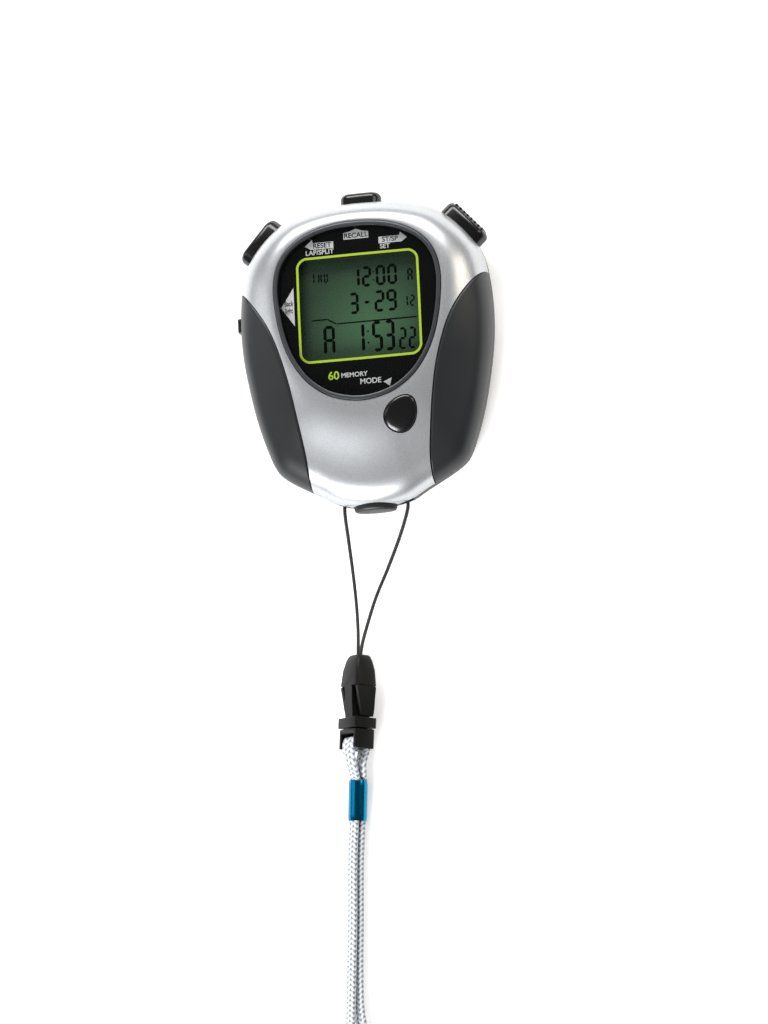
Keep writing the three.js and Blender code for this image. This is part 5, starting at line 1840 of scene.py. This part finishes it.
class WATCH_OT_clip(bpy.types.Operator):
    """The quick-release clip: its socket, its tongue and its two squeeze arms"""

    bl_idname = "watch.clip"
    bl_label = "Clip"

    def execute(self, context):
        acetal_black = finish_named("acetal")
        made = piece("socket", placed(self.socket(), CLIP_FRAME_MATRIX), acetal_black, "case",
                     ["clip_socket"])
        bevel_sharp_edges(made, SOCKET_BEVEL)
        made = piece("tongue", placed(self.tongue(), CLIP_FRAME_MATRIX), acetal_black, "lanyard",
                     ["clip_tongue"])
        bevel_sharp_edges(made, TONGUE_BEVEL)
        for name, side in (("right", 1), ("left", -1)):
            made = piece(f"squeeze_arm_{name}", placed(self.arm(side), CLIP_FRAME_MATRIX),
                         acetal_black, f"arm_{name}", [f"clip_arm_{name}"])
            bevel_sharp_edges(made, SOCKET_BEVEL)
        return {"FINISHED"}

    @staticmethod
    def socket():
        """The fixed half, open at the sides for the arms and hollow for the tongue."""
        start, end = CLIP_WINDOW
        corner = CLIP_CORNERS["dome"]
        body = ring_loft([soft_rectangle(p, q, corner, r) for p, q, r in CLIP_DOME])
        p, q, *collar_ends = CLIP_COLLAR
        corner = CLIP_CORNERS["collar"]
        collar = ring_loft([soft_rectangle(p, q, corner, r) for r in collar_ends])
        far = CLIP_BEYOND
        windows = [block((low, -far, start), (high, far, end))
                   for low, high in ((-far, -CLIP_CORE), (CLIP_CORE, far))]
        hollow = join(clip_block(*CLIP_VOID, collar_ends[1] + 1), cut(block(*CLIP_THROAT), post()),
                      block(*CLIP_MOUTH))
        return cut(join(cut(body, *windows), collar), hollow)

    @staticmethod
    def tongue():
        """The half that leaves with the lanyard: a guide, a base and a frame with a bar."""
        p, q, base_start, base_end = CLIP_BASE
        corner = CLIP_CORNERS["base"]
        whole = ring_loft([soft_rectangle(p, q, corner, r) for r in (base_start, CLIP_FRAME_END)])
        window = clip_block(CLIP_FRAME_WINDOW, CLIP_BEYOND, base_end, CLIP_BAR_FROM)
        sides = [block((-CLIP_FRAME_WINDOW, low, base_end), (CLIP_FRAME_WINDOW, high, OUTSIDE))
                 for low, high in ((CLIP_BAR_HALF, CLIP_BEYOND), (-CLIP_BEYOND, -CLIP_BAR_HALF))]
        return join(cut(whole, window, *sides), clip_block(*CLIP_GUIDE, base_start + 0.5))

    @staticmethod
    def arm(side):
        """A squeeze arm: a pad in the socket's window and the spring that it hangs on."""
        a = CLIP_ARM
        rings = []
        for r, near, far, shy in (
            (a["from"], a["wide"] - 0.1, a["wide"] - 0.1, 0.1),
            (a["from"] + 0.4, a["wide"], a["wide"], 0.0),
            (a["to"] - 1.2, a["near"] + 0.2, a["far"] + 0.05, 0.1),
            (a["to"], a["near"], a["far"], 0.4),
        ):
            inner, outer = side * a["inner"], side * (a["outer"] - shy)
            rings.append([Vector((p, q, r)) for p, q in (
                (inner, -far), (outer, -far), (outer, near), (inner, near),
            )])
        pad = ring_loft(rings)
        inner, outer, half, end = CLIP_SPRING
        low, high = sorted((side * inner, side * outer))
        return join(pad, block((low, -half, a["to"] - 2), (high, half, end)))


def post():
    """The cross post that the string goes round, in the clip's frame."""
    turn = Matrix.Translation((0, 0, POST["at"])) @ Matrix.Rotation(math.pi / 2, 4, "X")
    return placed(column(0, 0, POST["radius"], -POST["half"], POST["half"], 24), turn)


FERRULE_HALF = (2.72, 2.62)
FERRULE_WALL = 0.32
FERRULE_TURNS = 1.09
LAP_SHARE = 0.12  # the part of the strip that tucks in, at its inner end
LAP_TUCK = 0.8  # how far it tucks in, as a part of the sleeve's wall
FLAP_LENGTH = 0.35  # how much longer the outer end's corner is cut
FLAP_SHARE = 0.08
LIP_DEPTH = 0.12
LIP_SHARE = 0.06  # of the sleeve's length, at each end
STRIP_THICKNESS = 0.7 * FERRULE_WALL
SEAM_ANGLE = math.radians(118)  # where the sleeve's edge laps, from the across direction


class WATCH_OT_ferrule(bpy.types.Operator):
    """The blue sleeve, rolled from a strip whose edge laps over itself"""

    bl_idname = "watch.ferrule"
    bl_label = "Ferrule"

    def execute(self, context):
        start, end = FERRULE_FROM / MM, FERRULE_TO / MM
        along = (end - start).normalized()
        through = along.cross(CLIP_ACROSS).normalized()
        across = through.cross(along)
        length = (end - start).length
        bm = bmesh.new()
        bmesh.ops.create_grid(bm, x_segments=96, y_segments=12, size=0.5)
        for vert in bm.verts:
            u, v = vert.co.x + 0.5, vert.co.y + 0.5
            turn = SEAM_ANGLE + 2 * math.pi * FERRULE_TURNS * u
            tuck = LAP_TUCK * min(1.0, (1 - u) / LAP_SHARE)
            outward = 1 - FERRULE_WALL / FERRULE_HALF[0] * tuck
            flap = FLAP_LENGTH * max(0.0, 1 - u / FLAP_SHARE)
            r = length * v + flap * (1 - v)
            lip = LIP_DEPTH * sum(max(0.0, 1 - end / LIP_SHARE) ** 2 for end in (v, 1 - v))
            p = (FERRULE_HALF[0] * outward - lip) * math.cos(turn)
            q = (FERRULE_HALF[1] * outward - lip) * math.sin(turn)
            vert.co = start + across * p + through * q + along * r
        bmesh.ops.recalc_face_normals(bm, faces=bm.faces)
        bmesh.ops.solidify(bm, geom=bm.faces[:], thickness=STRIP_THICKNESS)
        bmesh.ops.recalc_face_normals(bm, faces=bm.faces)
        piece("ferrule", bm, finish_named("blue"), "lanyard", ["cord_ferrule"],
              sharp_angle=50)
        return {"FINISHED"}


# ---------- back of the case ----------

# each profile is turned about its axis: radius, height
SCREW_PROFILE = [
    (0, 0.55), (0.9, 0.58), (1.5, 0.7), (1.82, 0.95), (1.88, 1.3), (1.85, 1.8), (0.95, 1.8),
    (0.95, 12.0), (0, 12.6),
]
CROSS_HALF = (1.15, 0.24)
CROSS_DEPTH = 1.25
HATCH_PROFILE = [
    (0, 0.25), (12.2, 0.25), (12.55, 0.32), (12.7, 0.5), (12.7, 1.1), (11.4, 1.1), (11.4, 4.2),
    (10.35, 4.2), (10.35, 2.7), (0, 2.7),
]
HATCH_LUG = ((10.5, -2.2, 3.4), (12.7, 2.2, 4.2))
COIN_SLOT = (16, 1.8, 0, 1.3)  # length, width, and where it starts and ends in height
ARROW = [(-1.2, 10.4), (1.2, 10.4), (0, 12.6)]
ARROW_DEPTH = 0.45


def case_screw(x, y):
    """A cross-head screw: a low domed head, a shank and a point."""
    arms = [block((x - a, y - b, 0), (x + a, y + b, CROSS_DEPTH))
            for a, b in (CROSS_HALF, reversed(CROSS_HALF))]
    return cut(turned(x, y, SCREW_PROFILE, 40), *arms)


class WATCH_OT_case_screws(bpy.types.Operator):
    """The four cross-head screws that close the case"""

    bl_idname = "watch.case_screws"
    bl_label = "Case Screws"

    def execute(self, context):
        for i, (x, y) in enumerate(CASE_SCREWS, 1):
            piece(f"screw_{i}", case_screw(x, y), finish_named("steel"), "case",
                  [f"case_screw_{i}"])
        return {"FINISHED"}


class WATCH_OT_battery_hatch(bpy.types.Operator):
    """The coin-slotted battery hatch, with an arrow for the way it turns"""

    bl_idname = "watch.battery_hatch"
    bl_label = "Battery Hatch"

    def execute(self, context):
        disc = turned(0, HATCH_Y, HATCH_PROFILE, 128)
        lugs = [placed(block(*HATCH_LUG), about_hatch(120 * i)) for i in range(3)]
        slot = shifted(slot_bar(*COIN_SLOT), 0, HATCH_Y, 0)
        hatch = cut(join(disc, *lugs), slot, prism(ARROW, 0, ARROW_DEPTH))
        piece("hatch", hatch, finish_named("rear"), "hatch", ["battery_hatch"])
        return {"FINISHED"}


# ---------- pieces whose shape is the frame's own ----------

INNER_FINISHES = {
    "hatch_seal": "seal", "board_screw_1": "steel", "board_screw_2": "steel",
    "board_screw_3": "steel", "lcd_holder": "moulding", "lcd_panel": "lcd",
    "backlight_panel": "film", "zebra_strip_upper": "zebra", "zebra_strip_lower": "zebra",
    "circuit_board": "board", "clock_chip": "gloss", "quartz_crystal": "steel",
    "battery_holder": "moulding", "coin_cell": "steel", "battery_contact_negative": "brass",
    "battery_contact_positive": "brass", "buzzer_disc": "brass", "buzzer_spring_centre": "steel",
    "buzzer_spring_rim": "steel", "start_stop_spring": "steel", "lap_reset_spring": "steel",
    "recall_spring": "steel", "start_stop_switch": "moulding", "lap_reset_switch": "moulding",
    "recall_switch": "moulding", "backlight_switch": "moulding", "mode_dome": "silicone",
    "backlight_dome": "silicone",
}


class WATCH_OT_inner_works(bpy.types.Operator):
    """Gives the pieces inside the case their finishes"""

    bl_idname = "watch.inner_works"
    bl_label = "Inner Works"

    def execute(self, context):
        for node, finish in INNER_FINISHES.items():
            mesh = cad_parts[node].data
            mesh.materials.clear()
            mesh.materials.append(finish_named(finish))
        return {"FINISHED"}


BUILD_ORDER = [
    WATCH_OT_camera, WATCH_OT_strap_string, WATCH_OT_neck_cord, WATCH_OT_front_shell,
    WATCH_OT_rear_shell, WATCH_OT_grips, WATCH_OT_edge_buttons, WATCH_OT_mode_button,
    WATCH_OT_backlight_button, WATCH_OT_lens, WATCH_OT_display, WATCH_OT_words,
    WATCH_OT_strap_lug, WATCH_OT_clip, WATCH_OT_ferrule, WATCH_OT_case_screws,
    WATCH_OT_battery_hatch, WATCH_OT_inner_works, WATCH_OT_studio,
]


class WATCH_PT_stopwatch(bpy.types.Panel):
    """Sizes, lights and one button for each piece"""

    bl_idname = "WATCH_PT_stopwatch"
    bl_label = "Sports Stopwatch"
    bl_space_type = "VIEW_3D"
    bl_region_type = "UI"
    bl_category = "Stopwatch"

    def draw(self, context):
        scene = context.scene
        for group in (scene.stopwatch_sizes, scene.stopwatch_colours, scene.studio_look):
            column_layout = self.layout.column()
            for name in group.bl_rna.properties.keys():
                if name not in {"rna_type", "name"}:
                    column_layout.prop(group, name)
        for operator in BUILD_ORDER:
            self.layout.operator(operator.bl_idname)


REGISTERED = [
    StopwatchSizes, StopwatchColours, StudioLook, *BUILD_ORDER, WATCH_PT_stopwatch,
]


def register():
    for part in REGISTERED:
        bpy.utils.register_class(part)
    bpy.types.Scene.stopwatch_sizes = bpy.props.PointerProperty(type=StopwatchSizes)
    bpy.types.Scene.stopwatch_colours = bpy.props.PointerProperty(type=StopwatchColours)
    bpy.types.Scene.studio_look = bpy.props.PointerProperty(type=StudioLook)


def unregister():
    del bpy.types.Scene.studio_look
    del bpy.types.Scene.stopwatch_colours
    del bpy.types.Scene.stopwatch_sizes
    for part in reversed(REGISTERED):
        bpy.utils.unregister_class(part)


def main():
    register()
    for operator in BUILD_ORDER:
        group, name = operator.bl_idname.split(".")
        getattr(getattr(bpy.ops, group), name)()


if __name__ == "__main__":
    main()
